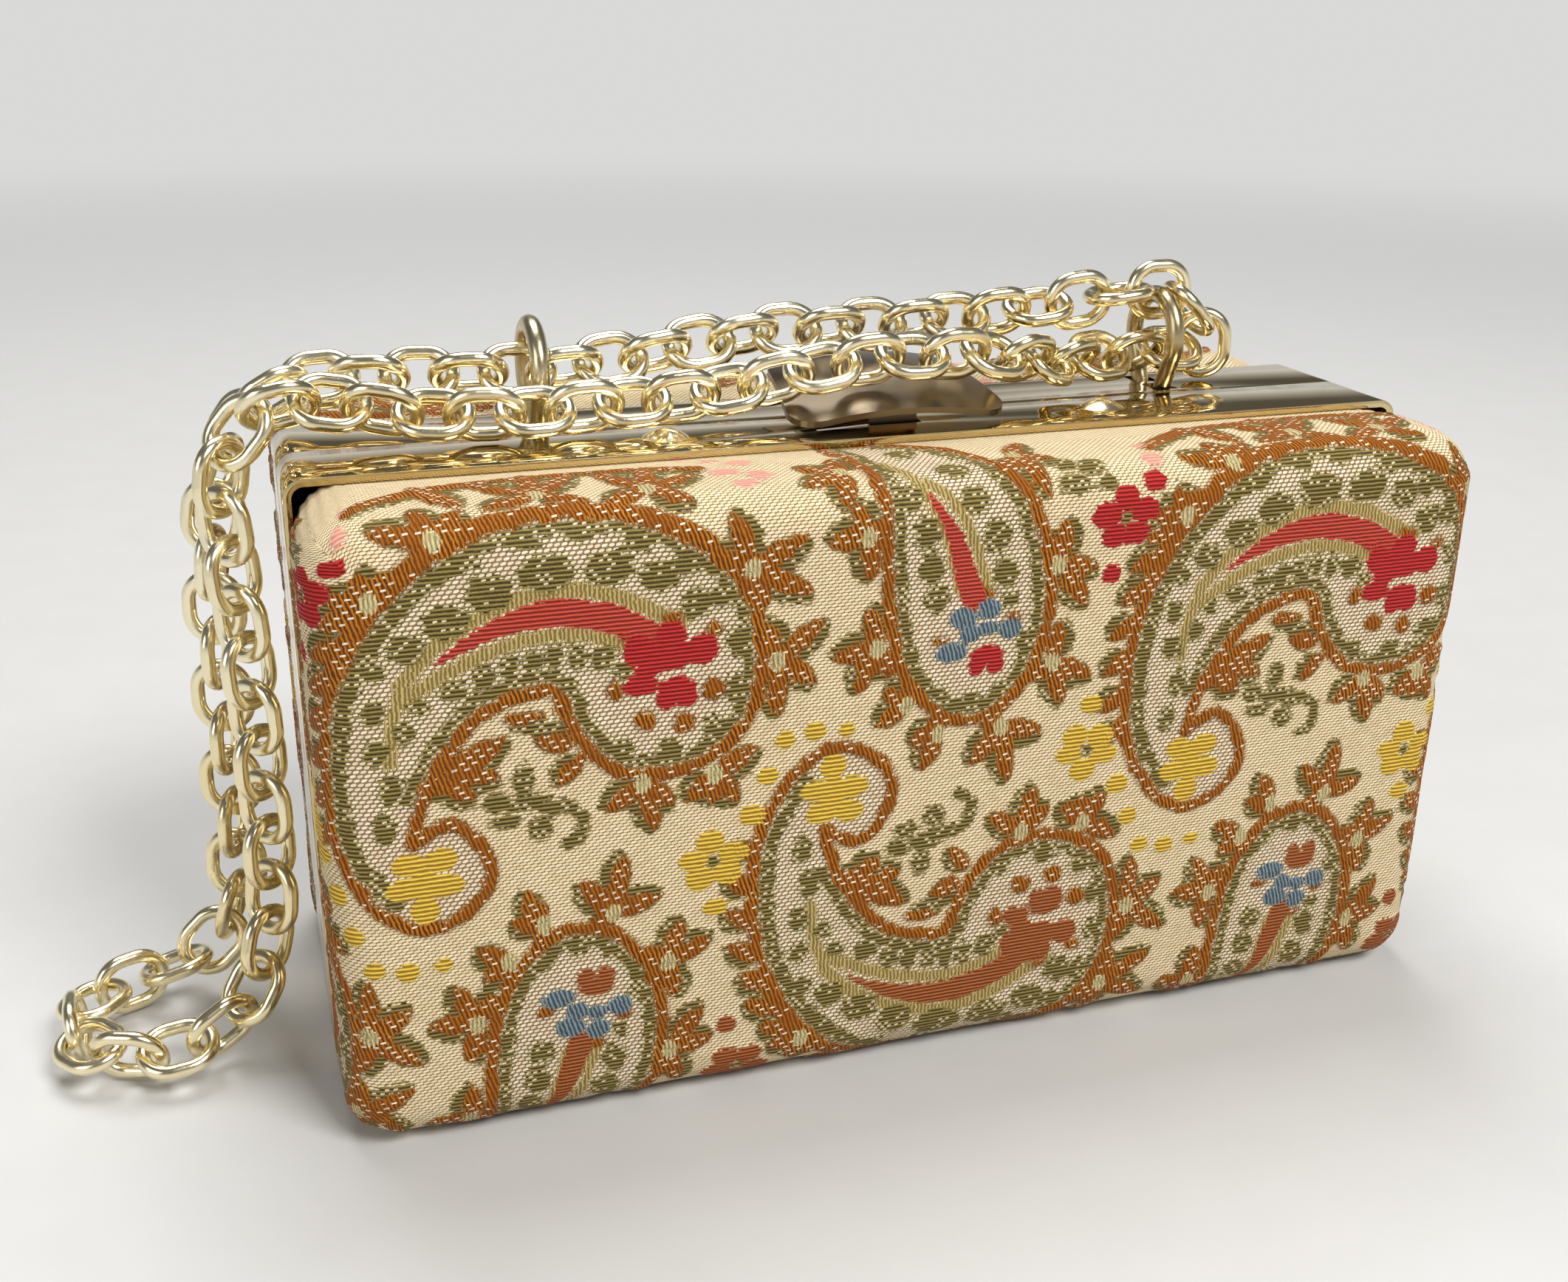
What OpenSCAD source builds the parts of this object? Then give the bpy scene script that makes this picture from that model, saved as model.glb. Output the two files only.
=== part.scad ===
// Box purse: two hinged half cases in metal bands, brocade panels, lift clasp, rings and a chain strap.
// Origin: middle of the seam on the table. X runs along the purse, +Y to the back, +Z up.

/* [Frame] */
// Width of the metal frame
frame_w = 184; // [170:1:200]
// Height of the metal frame
frame_h = 96; // [88:1:104]
// Depth of each half's metal band
band_d = 15.5; // [15:0.5:18]
// Thickness of the metal sheet
sheet_t = 1.2; // [1:0.1:1.4]
// Outside corner radius of the frame
frame_r = 3; // [2:0.5:5]
// Gap between the two bands at the seam
seam_gap = 0.3; // [0.2:0.1:0.6]

/* [Panels] */
// Depth that a padded panel stands out of its band
panel_d = 25; // [20:1:30]
// Corner radius of a panel, seen from the front
panel_r = 7; // [6.5:0.5:10]
// Rounding of a panel's face edges
edge_r = 7; // [5:0.5:7]
// How far a panel's padded sides swell past the band's mouth
side_swell = 1.2; // [0.4:0.1:1.3]
// Depth of a panel held inside its band
tuck = 5; // [4:0.5:5]
// Gap between a panel and its band
panel_gap = 0.1; // [0.05:0.05:0.2]
// Thickness of the brocade with its wadding
cover_t = 1.6; // [1:0.1:2]
// Thickness of the stiff board
board_t = 1.6; // [1:0.1:2]
// Thickness of the lining
lining_t = 0.8; // [0.5:0.1:1]

/* [Hinge] */
// Length of the hinge
hinge_l = 150; // [120:1:160]
// Number of knuckles
knuckles = 7; // [5:2:11]
// Outside radius of a knuckle
knuckle_r = 2; // [1.8:0.1:2.2]
// Radius of the hinge pin
pin_r = 0.9; // [0.7:0.05:1]
// Radial running clearance of the pins
pin_fit = 0.05; // [0.03:0.01:0.08]
// Thickness of a hinge leaf
leaf_t = 0.8; // [0.6:0.1:1]

/* [Clasp] */
// Distance of the clasp and rings to the right of the middle
fittings_x = 3; // [0:0.5:4]
// Width of the clasp plate at its front
clasp_w = 38; // [32:1:42]
// Width of the clasp plate at its rear
clasp_rear_w = 30; // [26:1:32]
// Length of the clasp plate from front to back
clasp_l = 27; // [25:0.5:28]
// Thickness of the clasp plate
clasp_t = 1; // [0.8:0.1:1.2]
// Radius of the clasp plate's dome
clasp_dome = 80; // [70:1:120]
// Slope of the clasp plate, rising to the back
clasp_tilt = 8; // [6:0.5:10]
// Clearance under the clasp plate's front corners
clasp_gap = 0.3; // [0.2:0.1:0.6]
// Width of the spring hook
hook_w = 8; // [6:0.5:10]
// Radius of a rivet's domed head
rivet_r = 3.6; // [3:0.1:4]
// Height of a rivet's domed head
rivet_h = 1.3; // [1:0.1:1.6]
// Distance from the clasp's middle to each rivet
rivet_x = 37.5; // [30:0.5:42]

/* [Rings] */
// Distance from the clasp's middle to each ring
ring_x = 55; // [50:0.5:60]
// Thickness of the ring wire
ring_wire = 3; // [2.6:0.1:3.2]
// Radius of the ring's round top, at the middle of the wire
ring_top_r = 6.9; // [6.5:0.1:7.2]
// Radius of the ring's foot, at the middle of the wire
ring_foot_r = 3.6; // [3.4:0.1:3.8]
// Distance between the centres of top and foot
ring_span = 8.2; // [8:0.1:9]

/* [Chain] */
// Outside length of a link
link_l = 12.6; // [12.2:0.1:12.8]
// Outside width of a link
link_w = 10.4; // [10:0.1:10.8]
// Thickness of the link wire
link_wire = 2.25; // [2.1:0.05:2.25]
// Distance along the chain from link to link
link_pitch = 7.6; // [7.5:0.05:7.7]

/* [Brocade] */
// Height of the woven figures above the ground cloth
print_t = 0.3; // [0.2:0.05:0.5]
// Width of one repeat of the pattern
repeat_x = 120.5; // [110:0.5:130]
// Height of one repeat of the pattern
repeat_z = 150; // [140:1:160]
// Width of the rust outline
outline_w = 1.8; // [1.2:0.1:2.2]

/* [Hidden] */
$fn = 48;

gold = "#d9bd78";
pewter = "#b3a583";
cloth = "#e2cdaa";
board_grey = "#9a9084";
satin = "#c9a86a";

// The panel, seen from the front
panel_w = frame_w - 2 * (sheet_t + panel_gap);
panel_h = frame_h - 2 * (sheet_t + panel_gap);
face_d = band_d + panel_d;
arc_steps = 8;
edge_steps = 6;
// Share of the panel's depth at which its sides swell most, and what is left of it at the face edge
swell_at = 0.4;
swell_left = 0.8;

// The hinge lies in a notch along the bottom of the seam
knuckle_lift = 0.4;
hinge_z = knuckle_r + knuckle_lift;
notch_d = knuckle_r + 0.6;
leaf_w = band_d - tuck - notch_d - 0.5;
knuckle_l = hinge_l / knuckles;
knuckle_gap = 0.3;

// The clasp plate, seen along its own slope
clasp_y = 0.5;
clasp_corner_r = 5;
clasp_fall = (pow(clasp_w, 2) + pow(clasp_l, 2)) / 8 / clasp_dome;
clasp_z = frame_h + clasp_gap + clasp_t + clasp_fall * cos(clasp_tilt) + clasp_l / 2 * sin(clasp_tilt);
clasp_ear_r = 1.5;
clasp_ear_w = 2.7;
clasp_pin_r = 0.7;
clasp_barrel_w = 12;
clasp_pin_v = clasp_l / 2 - 2.5;
clasp_pin_w = -clasp_t - clasp_ear_r - 1.6;
clasp_pin_y = clasp_y + clasp_pin_v * cos(clasp_tilt) - clasp_pin_w * sin(clasp_tilt);
clasp_pin_z = clasp_z + clasp_pin_v * sin(clasp_tilt) + clasp_pin_w * cos(clasp_tilt);
clasp_foot_t = 0.8;
clasp_foot_d = 6;

// The hook goes down through the front band and the catch plate under it
catch_t = 1;
catch_in = 3;
catch_out = band_d - tuck - 0.5;
catch_end = 5;
hook_y = -6.5;
hook_t = 0.8;
hook_toe = 1;
hook_play = 0.4;
hook_low = frame_h - sheet_t - catch_t - 2;
rivet_y = -6.5;
rivet_stem_r = 1.5;
rivet_tail_r = 2.4;
rivet_tail_t = 0.6;
rivet_play = 0.05;

// A ring is pear shaped and hangs on the bridge between two slots of the rear band
ring_y = 8;
ring_r = ring_wire / 2;
ring_foot_z = frame_h + 0.4;
ring_top_z = ring_foot_z + ring_span;
ring_lean = asin((ring_top_r - ring_foot_r) / ring_span);
ring_leg = sqrt(pow(ring_span, 2) - pow(ring_top_r - ring_foot_r, 2));
ring_swing = 30;
// A ring's legs are a hair thinner than its arcs and let into them
leg_step = 0.02;
leg_let = 0.3;
slot_play = 0.3;
slot_x = ring_r / cos(ring_swing) + sheet_t / 2 * tan(ring_swing) + slot_play;
slot_out = ring_half(frame_h) + ring_r / cos(ring_lean) + slot_play;
// The bridge between a ring's two slots is narrow enough for its foot to swing round it
slot_in = 0.3 * (ring_foot_r - ring_r);
relief_x = 4.4;
relief_z = 6.2;

// Half the ring's width at a height, measured along its straight legs
function ring_half(z) =
    ring_foot_r * cos(ring_lean) + (z - ring_foot_z + ring_foot_r * sin(ring_lean)) * tan(ring_lean);

function unit(v) = v / norm(v);

// A polygon's corner as an arc
function corner_arc(a, b, c, r) =
    let (
        u = unit(a - b),
        v = unit(c - b),
        half = acos(u * v) / 2,
        middle = b + unit(u + v) * r / sin(half),
        p = b + u * r / tan(half) - middle,
        q = b + v * r / tan(half) - middle,
        start = atan2(p[1], p[0]),
        turn = ((atan2(q[1], q[0]) - start + 540) % 360) - 180
    )
    [for (i = [0 : arc_steps]) middle + r * [cos(start + turn * i / arc_steps), sin(start + turn * i / arc_steps)]];

function rounded(corners, r) =
    let (n = len(corners))
    [for (i = [0 : n - 1]) each corner_arc(corners[(i + n - 1) % n], corners[i], corners[(i + 1) % n], r)];

function rect(w, h) = [[-w / 2, -h / 2], [w / 2, -h / 2], [w / 2, h / 2], [-w / 2, h / 2]];

// A smooth curve through points, with a few steps from each to the next
function curve_point(a, b, c, d, t) =
    0.5 * (2 * b + (c - a) * t + (2 * a - 5 * b + 4 * c - d) * t * t + (3 * b - a - 3 * c + d) * t * t * t);

function curve(points, steps) =
    let (n = len(points))
    [for (i = [0 : n - 2], k = [0 : steps - 1])
        curve_point(points[max(i - 1, 0)], points[i], points[i + 1], points[min(i + 2, n - 1)], k / steps),
     points[n - 1]];

// A band of even width along a curve in the plane, moved sideways by shift
function side(points, i) =
    let (n = len(points), t = unit(points[min(i + 1, n - 1)] - points[max(i - 1, 0)]))
    [-t[1], t[0]];

function ribbon(points, w, shift = 0) =
    let (n = len(points))
    concat(
        [for (i = [0 : n - 1]) points[i] + side(points, i) * (shift + w / 2)],
        [for (i = [n - 1 : -1 : 0]) points[i] + side(points, i) * (shift - w / 2)]
    );

// A half case is drawn flat, with its depth upwards, and then stood up
module front_half() {
    rotate([90, 0, 0]) children();
}

module rear_half() {
    mirror([0, 1, 0]) rotate([90, 0, 0]) children();
}

module along_x(l) {
    rotate([0, 90, 0]) translate([0, 0, -l / 2]) children();
}

// Frames
module band() {
    difference() {
        translate([0, frame_h / 2, seam_gap / 2])
            linear_extrude(band_d - seam_gap / 2)
                difference() {
                    polygon(rounded(rect(frame_w, frame_h), frame_r));
                    polygon(rounded(rect(frame_w - 2 * sheet_t, frame_h - 2 * sheet_t), frame_r - sheet_t / 2));
                }
        translate([-frame_w, -frame_h, -1]) cube([2 * frame_w, frame_h + hinge_z, notch_d + 1]);
    }
}

module hook_slot() {
    w = hook_w + 2 * hook_play;
    d = hook_t + hook_toe + 2 * hook_play;
    translate([fittings_x - w / 2, hook_y - hook_t / 2 - hook_toe - hook_play, frame_h - 6]) cube([w, d, 12]);
}

module at_rivets() {
    for (s = [-1, 1])
        translate([fittings_x + s * rivet_x, rivet_y, frame_h]) children();
}

module rivet_holes() {
    at_rivets() cylinder(r = rivet_stem_r + rivet_play, h = 12, center = true);
}

module front_frame() {
    color(gold)
        difference() {
            front_half() band();
            hook_slot();
            rivet_holes();
        }
}

module ring_slots() {
    for (s = [-1, 1], e = [-1, 1])
        translate([fittings_x + s * ring_x - slot_x, ring_y + e * (slot_in + slot_out) / 2, frame_h])
            translate([0, -(slot_out - slot_in) / 2, -3])
                cube([2 * slot_x, slot_out - slot_in, 6]);
}

module rear_frame() {
    color(gold)
        difference() {
            rear_half() band();
            ring_slots();
        }
}

// Panels: brocade cover, board and lining are skins of one padded form
module pillow(inset) {
    e = edge_r - inset;
    r = panel_r - inset;
    sides = concat(
        [[0, 0, 0], [swell_at * panel_d, side_swell, 0]],
        [for (i = [0 : edge_steps])
            let (a = 90 * i / edge_steps)
            [panel_d - edge_r + e * sin(a), swell_left * side_swell - e * (1 - cos(a)), e * (1 - cos(a))]]
    );
    hull()
        for (s = sides)
            translate([0, frame_h / 2, band_d + s[0]])
                linear_extrude(0.01)
                    polygon(rounded(
                        rect(panel_w - 2 * inset + 2 * s[1], panel_h - 2 * inset + 2 * s[1]),
                        max(r - s[2], 1)
                    ));
    translate([0, frame_h / 2, band_d - tuck])
        linear_extrude(tuck + 0.01)
            polygon(rounded(rect(panel_w - 2 * inset, panel_h - 2 * inset), r));
}

module mouth(inset) {
    translate([0, frame_h / 2, band_d - tuck - 1])
        linear_extrude(tuck)
            polygon(rounded(rect(panel_w - 2 * inset, panel_h - 2 * inset), panel_r - inset));
}

module skin(outer, inner) {
    difference() {
        pillow(outer);
        pillow(inner);
        mouth(inner);
    }
}

// Room for a ring's foot to swing under the rear band
module ring_reliefs() {
    for (s = [-1, 1])
        translate([fittings_x + s * ring_x - relief_x, 0, frame_h - relief_z])
            cube([2 * relief_x, band_d - 0.8, relief_z + 1]);
}

module front_cover() {
    color(cloth) front_half() skin(0, cover_t);
}

module rear_cover() {
    color(cloth)
        difference() {
            rear_half() skin(0, cover_t);
            ring_reliefs();
        }
}

module front_board() {
    color(board_grey) front_half() skin(cover_t, cover_t + board_t);
}

module rear_board() {
    color(board_grey)
        difference() {
            rear_half() skin(cover_t, cover_t + board_t);
            ring_reliefs();
        }
}

module front_lining() {
    color(satin) front_half() skin(cover_t + board_t, cover_t + board_t + lining_t);
}

module rear_lining() {
    color(satin)
        difference() {
            rear_half() skin(cover_t + board_t, cover_t + board_t + lining_t);
            ring_reliefs();
        }
}

// Hinge: the front leaf has the odd knuckles and the rear leaf the even ones
module hinge_leaf(first) {
    difference() {
        union() {
            translate([-hinge_l / 2, sheet_t, notch_d]) cube([hinge_l, leaf_t, leaf_w]);
            for (i = [first : 2 : knuckles - 1])
                translate([-hinge_l / 2 + i * knuckle_l + knuckle_gap / 2, 0, 0]) {
                    translate([0, sheet_t, 0]) cube([knuckle_l - knuckle_gap, leaf_t, notch_d + 0.1]);
                    translate([0, hinge_z, 0])
                        rotate([0, 90, 0])
                            cylinder(r = knuckle_r, h = knuckle_l - knuckle_gap);
                }
        }
        translate([0, hinge_z, 0]) along_x(2 * hinge_l) cylinder(r = pin_r + pin_fit, h = 2 * hinge_l);
    }
}

module hinge_leaf_front() {
    color(gold) front_half() hinge_leaf(1);
}

module hinge_leaf_rear() {
    color(gold) rear_half() hinge_leaf(0);
}

module hinge_pin() {
    color(pewter) translate([0, 0, hinge_z]) along_x(hinge_l) cylinder(r = pin_r, h = hinge_l);
}

// Clasp
module clasp_place() {
    translate([fittings_x, clasp_y, clasp_z]) rotate([clasp_tilt, 0, 0]) children();
}

module clasp_ball(r) {
    translate([0, 0, -clasp_dome]) sphere(r = r, $fn = 96);
}

module clasp_outline() {
    l = clasp_l / 2;
    corners = [[-clasp_w / 2, -l], [clasp_w / 2, -l], [clasp_rear_w / 2, l], [-clasp_rear_w / 2, l]];
    polygon(rounded(corners, clasp_corner_r));
}

module clasp_lever() {
    lug = 2;
    color(pewter)
        clasp_place()
            difference() {
                union() {
                    intersection() {
                        translate([0, 0, -clasp_dome / 4]) linear_extrude(clasp_dome / 2) clasp_outline();
                        difference() {
                            clasp_ball(clasp_dome);
                            clasp_ball(clasp_dome - clasp_t);
                        }
                    }
                    intersection() {
                        union() {
                            translate([-clasp_barrel_w / 2, clasp_pin_v - lug / 2, clasp_pin_w])
                                cube([clasp_barrel_w, lug, 6]);
                            translate([0, clasp_pin_v, clasp_pin_w])
                                along_x(clasp_barrel_w) cylinder(r = clasp_ear_r, h = clasp_barrel_w);
                        }
                        clasp_ball(clasp_dome - clasp_t / 2);
                    }
                }
                translate([0, clasp_pin_v, clasp_pin_w])
                    along_x(2 * clasp_w) cylinder(r = clasp_pin_r + pin_fit, h = 2 * clasp_w);
            }
}

module clasp_hook() {
    x = fittings_x - hook_w / 2;
    color(pewter)
        intersection() {
            clasp_place() clasp_ball(clasp_dome - clasp_t);
            union() {
                translate([x, hook_y - hook_t / 2, hook_low]) cube([hook_w, hook_t, 12]);
                translate([x, hook_y - hook_t / 2 - hook_toe, hook_low]) cube([hook_w, hook_toe, hook_t]);
            }
        }
}

module clasp_base() {
    ears = clasp_barrel_w / 2 + knuckle_gap;
    reach = ears + clasp_ear_w;
    color(pewter)
        difference() {
            union() {
                translate([fittings_x - reach, clasp_pin_y - clasp_foot_d / 2, frame_h])
                    cube([2 * reach, clasp_foot_d, clasp_foot_t]);
                for (s = [-1, 1])
                    translate([fittings_x + s * (ears + clasp_ear_w / 2), clasp_pin_y, 0]) {
                        translate([-clasp_ear_w / 2, -clasp_ear_r, frame_h])
                            cube([clasp_ear_w, 2 * clasp_ear_r, clasp_pin_z - frame_h]);
                        translate([0, 0, clasp_pin_z])
                            along_x(clasp_ear_w) cylinder(r = clasp_ear_r, h = clasp_ear_w);
                    }
            }
            translate([fittings_x, clasp_pin_y, clasp_pin_z])
                along_x(2 * clasp_w) cylinder(r = clasp_pin_r + pin_fit, h = 2 * clasp_w);
        }
}

module clasp_pin() {
    l = clasp_barrel_w + 2 * knuckle_gap + 2 * clasp_ear_w;
    color(gold) translate([fittings_x, clasp_pin_y, clasp_pin_z]) along_x(l) cylinder(r = clasp_pin_r, h = l);
}

module catch_plate() {
    l = 2 * (rivet_x + catch_end);
    color(pewter)
        difference() {
            translate([fittings_x - l / 2, -catch_out, frame_h - sheet_t - catch_t])
                cube([l, catch_out - catch_in, catch_t]);
            hook_slot();
            rivet_holes();
        }
}

module catch_rivets() {
    dome = (pow(rivet_r, 2) + pow(rivet_h, 2)) / 2 / rivet_h;
    tail = sheet_t + catch_t;
    color(gold)
        at_rivets() {
            intersection() {
                translate([0, 0, rivet_h - dome]) sphere(r = dome, $fn = 96);
                cylinder(r = 2 * rivet_r, h = 2 * rivet_h);
            }
            translate([0, 0, -tail]) cylinder(r = rivet_stem_r, h = tail);
            translate([0, 0, -tail - rivet_tail_t]) cylinder(r = rivet_tail_r, h = rivet_tail_t);
        }
}

// Rings
module wire_arc(r, wire_r, from, to) {
    rotate([0, 0, from]) rotate_extrude(angle = to - from) translate([r, 0]) circle(r = wire_r);
}

module ring(x) {
    color(pewter)
        translate([x, ring_y, 0])
            rotate([90, 0, 90]) {
                translate([0, ring_top_z, 0]) wire_arc(ring_top_r, ring_r, -ring_lean, 180 + ring_lean);
                translate([0, ring_foot_z, 0]) wire_arc(ring_foot_r, ring_r, 180 + ring_lean, 360 - ring_lean);
                for (s = [-1, 1])
                    translate([s * ring_foot_r * cos(ring_lean), ring_foot_z - ring_foot_r * sin(ring_lean), 0])
                        rotate([0, 0, -s * ring_lean])
                            rotate([-90, 0, 0])
                                translate([0, 0, -leg_let])
                                    cylinder(r = ring_r - leg_step, h = ring_leg + 2 * leg_let);
            }
}

module ring_left() {
    ring(fittings_x - ring_x);
}

module ring_right() {
    ring(fittings_x + ring_x);
}

// Chain: one endless strap. Its first links are placed one by one: the first holds the right ring's top,
// the next two turn down, and two go back through the ring. Place, turn, slope and roll of each
ring_links = [
    [58, 8, 112.3, 0, 0, 90],
    [64.2, 8, 108.7, 0, -48.5, 0],
    [67.2, 7.5, 102.7, -29, -88, 88],
    [61.6, 8.6, 101.7, 180, 2, -35.5],
    [53.8, 7.6, 101.8, 188, 0, 50]
];
// The other links follow a route. Each point is a place and the roll of the links there
route = [
    [50, 7.1, 101.8, 50], [43, 5.4, 101.6, 46], [35, 1, 102.4, 48], [26, -5, 104.6, 52],
    [14, -8, 106.6, 56], [-4, -8.5, 106.6, 58],
    [-18, -7.5, 104, 58], [-30, -5.6, 102, 58], [-44, -4.8, 101.2, 58], [-60, -4.8, 100.8, 58],
    [-73, -2, 101.2, 56], [-82, 0, 102.8, 50], [-90, 1, 103.4, 45], [-96.6, 1, 100.4, 45], [-100.2, 0.6, 93, 45],
    [-99.8, 0, 82, 45], [-99, -1, 68, 45], [-98.6, -2, 54, 45], [-98.6, -2.6, 40, 45], [-98.8, -3.6, 28, 45],
    [-100.6, -6, 17, 45], [-105, -9.4, 9.4, 45], [-111.5, -12, 6.2, 45], [-118.8, -12.6, 5.6, 45],
    [-126.2, -9.8, 5.6, 45], [-130.8, -3, 5.6, 45], [-129.6, 5.2, 5.6, 45], [-123, 11, 5.6, 40],
    [-114.6, 12.4, 6.2, 30], [-108, 13, 10, 25], [-104.8, 13.6, 17, 20], [-103.8, 14, 27, 20], [-103.4, 14.2, 40, 20],
    [-103.2, 14.2, 54, 20], [-103, 14.2, 68, 20], [-102.2, 14, 80, 20], [-100, 13.8, 90, 15],
    [-96.3, 13.5, 97.4, 5], [-90, 13, 103, -5], [-81, 12, 104.2, 1], [-70, 10, 104.2, 1], [-59, 8.4, 104.3, 1],
    [-46, 8, 104.6, 1], [-32, 9, 106, 1], [-16, 10, 108, 1], [0, 10, 108.4, 1], [16, 10, 108.8, -3],
    [30, 9.5, 109.6, -15], [42, 8.5, 111, -35], [54, 8, 112.3, -50]
];
chain_steps = 8;
// Links in each stretch, in the order of the route
front_links = 20;
drop_links = 13;
pile_links = 10;
rise_links = 12;

route_line = curve(route, chain_steps);

function place(p) = [p[0], p[1], p[2]];

// Distance along the route to each of its steps
route_along = [for (i = 0, s = 0; i < len(route_line);
    s = s + (i + 1 < len(route_line) ? norm(place(route_line[i + 1]) - place(route_line[i])) : 0), i = i + 1) s];
route_l = route_along[len(route_along) - 1];
// An even count, so that the last link meets the first one crossed
link_count = 2 * round(route_l / link_pitch / 2);

function step_at(s, low, high) =
    high - low <= 1 ? low :
    let (mid = floor((low + high) / 2))
    route_along[mid] <= s ? step_at(s, mid, high) : step_at(s, low, mid);

function route_at(s) =
    let (i = step_at(min(s, route_l), 0, len(route_line) - 1))
    route_line[i] + (route_line[i + 1] - route_line[i]) * (min(s, route_l) - route_along[i])
        / (route_along[i + 1] - route_along[i]);

joints = [for (k = [0 : link_count]) route_at(route_l * k / link_count)];

// The side direction is carried along the chain without twist, from link to link
function straightened(v, t) = unit(v - (v * t) * t);

link_ways = [for (k = [0 : link_count - 1]) unit(place(joints[k + 1]) - place(joints[k]))];
link_sides = [for (k = 0, v = straightened([0, -1, 0], link_ways[0]); k < link_count;
    k = k + 1, v = k < link_count ? straightened(v, link_ways[k]) : v) v];

module link() {
    arm = (link_l - link_w) / 2;
    r = (link_w - link_wire) / 2;
    w = link_wire / 2;
    translate([arm, 0, 0]) wire_arc(r, w, -90, 90);
    translate([-arm, 0, 0]) wire_arc(r, w, 90, 270);
    for (s = [-1, 1])
        translate([0, s * r, 0]) along_x(2 * arm) cylinder(r = w, h = 2 * arm);
}

module links(first, last) {
    color(gold)
        for (k = [first : last])
            let (
                x = link_ways[k],
                y = link_sides[k],
                z = cross(x, y),
                p = (place(joints[k]) + place(joints[k + 1])) / 2,
                roll = (joints[k][3] + joints[k + 1][3]) / 2 + 90 * (k % 2) + 90
            )
            multmatrix([[x[0], y[0], z[0], p[0]], [x[1], y[1], z[1], p[1]], [x[2], y[2], z[2], p[2]], [0, 0, 0, 1]])
                rotate([roll, 0, 0]) link();
}

drop_first = front_links;
pile_first = drop_first + drop_links;
rise_first = pile_first + pile_links;
back_first = rise_first + rise_links;

module chain_ring_loop() {
    color(gold)
        for (p = ring_links)
            translate(place(p)) rotate([0, -p[4], p[3]]) rotate([p[5], 0, 0]) link();
}

module chain_front_run() {
    links(0, drop_first - 1);
}

module chain_left_drop() {
    links(drop_first, pile_first - 1);
}

module chain_table_pile() {
    links(pile_first, rise_first - 1);
}

module chain_left_rise() {
    links(rise_first, back_first - 1);
}

module chain_back_run() {
    links(back_first, link_count - 1);
}

// Brocade figures, drawn on the face with X along the purse and Y up from the table
glide_z = 91.5;
figure_steps = 4;
paisley = [
    [-80, 50], [-75, 52.5], [-71, 49], [-69.5, 43.5], [-73, 38.5], [-79, 36.5], [-85, 40], [-90, 48], [-91.5, 57],
    [-91, 66], [-89, 74], [-85, 82], [-80, 88], [-74, 93], [-66, 96], [-56, 97.3], [-46, 95], [-38, 90.5],
    [-32, 83], [-30, 74], [-31, 65], [-35, 59.5], [-42, 56.3], [-50, 57], [-54, 60], [-57.5, 65], [-59.5, 70.2],
    [-64, 70.5], [-70, 68], [-75, 62.5], [-78.5, 56], [-79.6, 52.6]
];
paisley_inside_from = 6;
paisley_inside_to = 23;
crescent_top = [[-76, 75.5], [-69, 80.5], [-60, 82.8], [-52, 81.6], [-44.5, 77]];
crescent_low = [[-47, 75.5], [-53, 78.4], [-60, 79.6], [-68, 78.6], [-75, 76]];
crescent_rim = 1.6;
drop = [
    [-11, 104], [-11.3, 95], [-11.2, 85], [-10.3, 75], [-8, 66.5], [-3, 60.5], [3, 58.3], [9, 60.8], [13, 66.5],
    [15, 74], [14.6, 82], [12.2, 90], [9, 97], [8, 104]
];
stem = [[-5, 95], [-3, 95], [0.5, 88], [4, 77.5], [1, 77], [-1.5, 86]];
olive_shift = 1.9;
olive_w = 1.3;

function flower(middle, r, petals) =
    [for (a = [0 : 12 : 348]) middle + r * (0.8 + 0.2 * cos(petals * a)) * [sin(a), cos(a)]];

function leaf(root, angle, l, w) =
    let (t = [cos(angle), sin(angle)], n = [-t[1], t[0]])
    [root, root + t * l * 0.45 + n * w / 2, root + t * l, root + t * l * 0.45 - n * w / 2];

function backwards(points) = [for (i = [len(points) - 1 : -1 : 0]) points[i]];

// Leaves stand off the left side of an outline, in fans of three
module leaves(line, first, last, step) {
    for (i = [first : step : last])
        let (n = side(line, i), root = line[i] + n * outline_w * 0.3, a = atan2(n[1], n[0]))
        for (turn = [-50, 0, 50])
            polygon(leaf(root, a + turn, turn == 0 ? 6 : 5, 2.6));
}

paisley_line = curve(paisley, figure_steps);
drop_line = curve(drop, figure_steps);

module rust_figures() {
    polygon(ribbon(paisley_line, outline_w));
    polygon(ribbon(drop_line, outline_w));
    leaves(paisley_line, 34, 98, 8);
    leaves(backwards(drop_line), 4, 50, 6);
}

module olive_figures() {
    inside = [for (i = [paisley_inside_from * figure_steps : paisley_inside_to * figure_steps]) paisley_line[i]];
    polygon(ribbon(inside, olive_w, -olive_shift));
    polygon(ribbon(drop_line, olive_w, olive_shift));
    for (p = [[-75, 84.5], [-69.5, 87], [-64, 88.3], [-58.5, 88.6], [-52.5, 88], [-47, 86.2], [-84, 77], [-85, 67]])
        translate(p) polygon(flower([0, 0], 2.4, 4));
    for (p = [[-64.5, 57.5], [-62, 53.5], [-59, 51], [-66.5, 53.8]])
        translate(p) polygon(flower([0, 0], 1.7, 3));
}

module crescent(grow) {
    polygon(concat(
        [for (p = crescent_top) p + [0, grow]],
        [for (p = crescent_low) p - [0, grow]]
    ));
}

module straw_figures() {
    difference() {
        crescent(crescent_rim);
        crescent(0);
        polygon(flower([-43, 72.6], 6, 5));
    }
}

module red_figures() {
    polygon(flower([-43, 72.6], 5.8, 5));
    difference() {
        crescent(0);
        polygon(flower([-43, 72.6], 5.8, 5));
    }
    polygon(stem);
    polygon(flower([5.2, 66.6], 2.3, 2));
}

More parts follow.
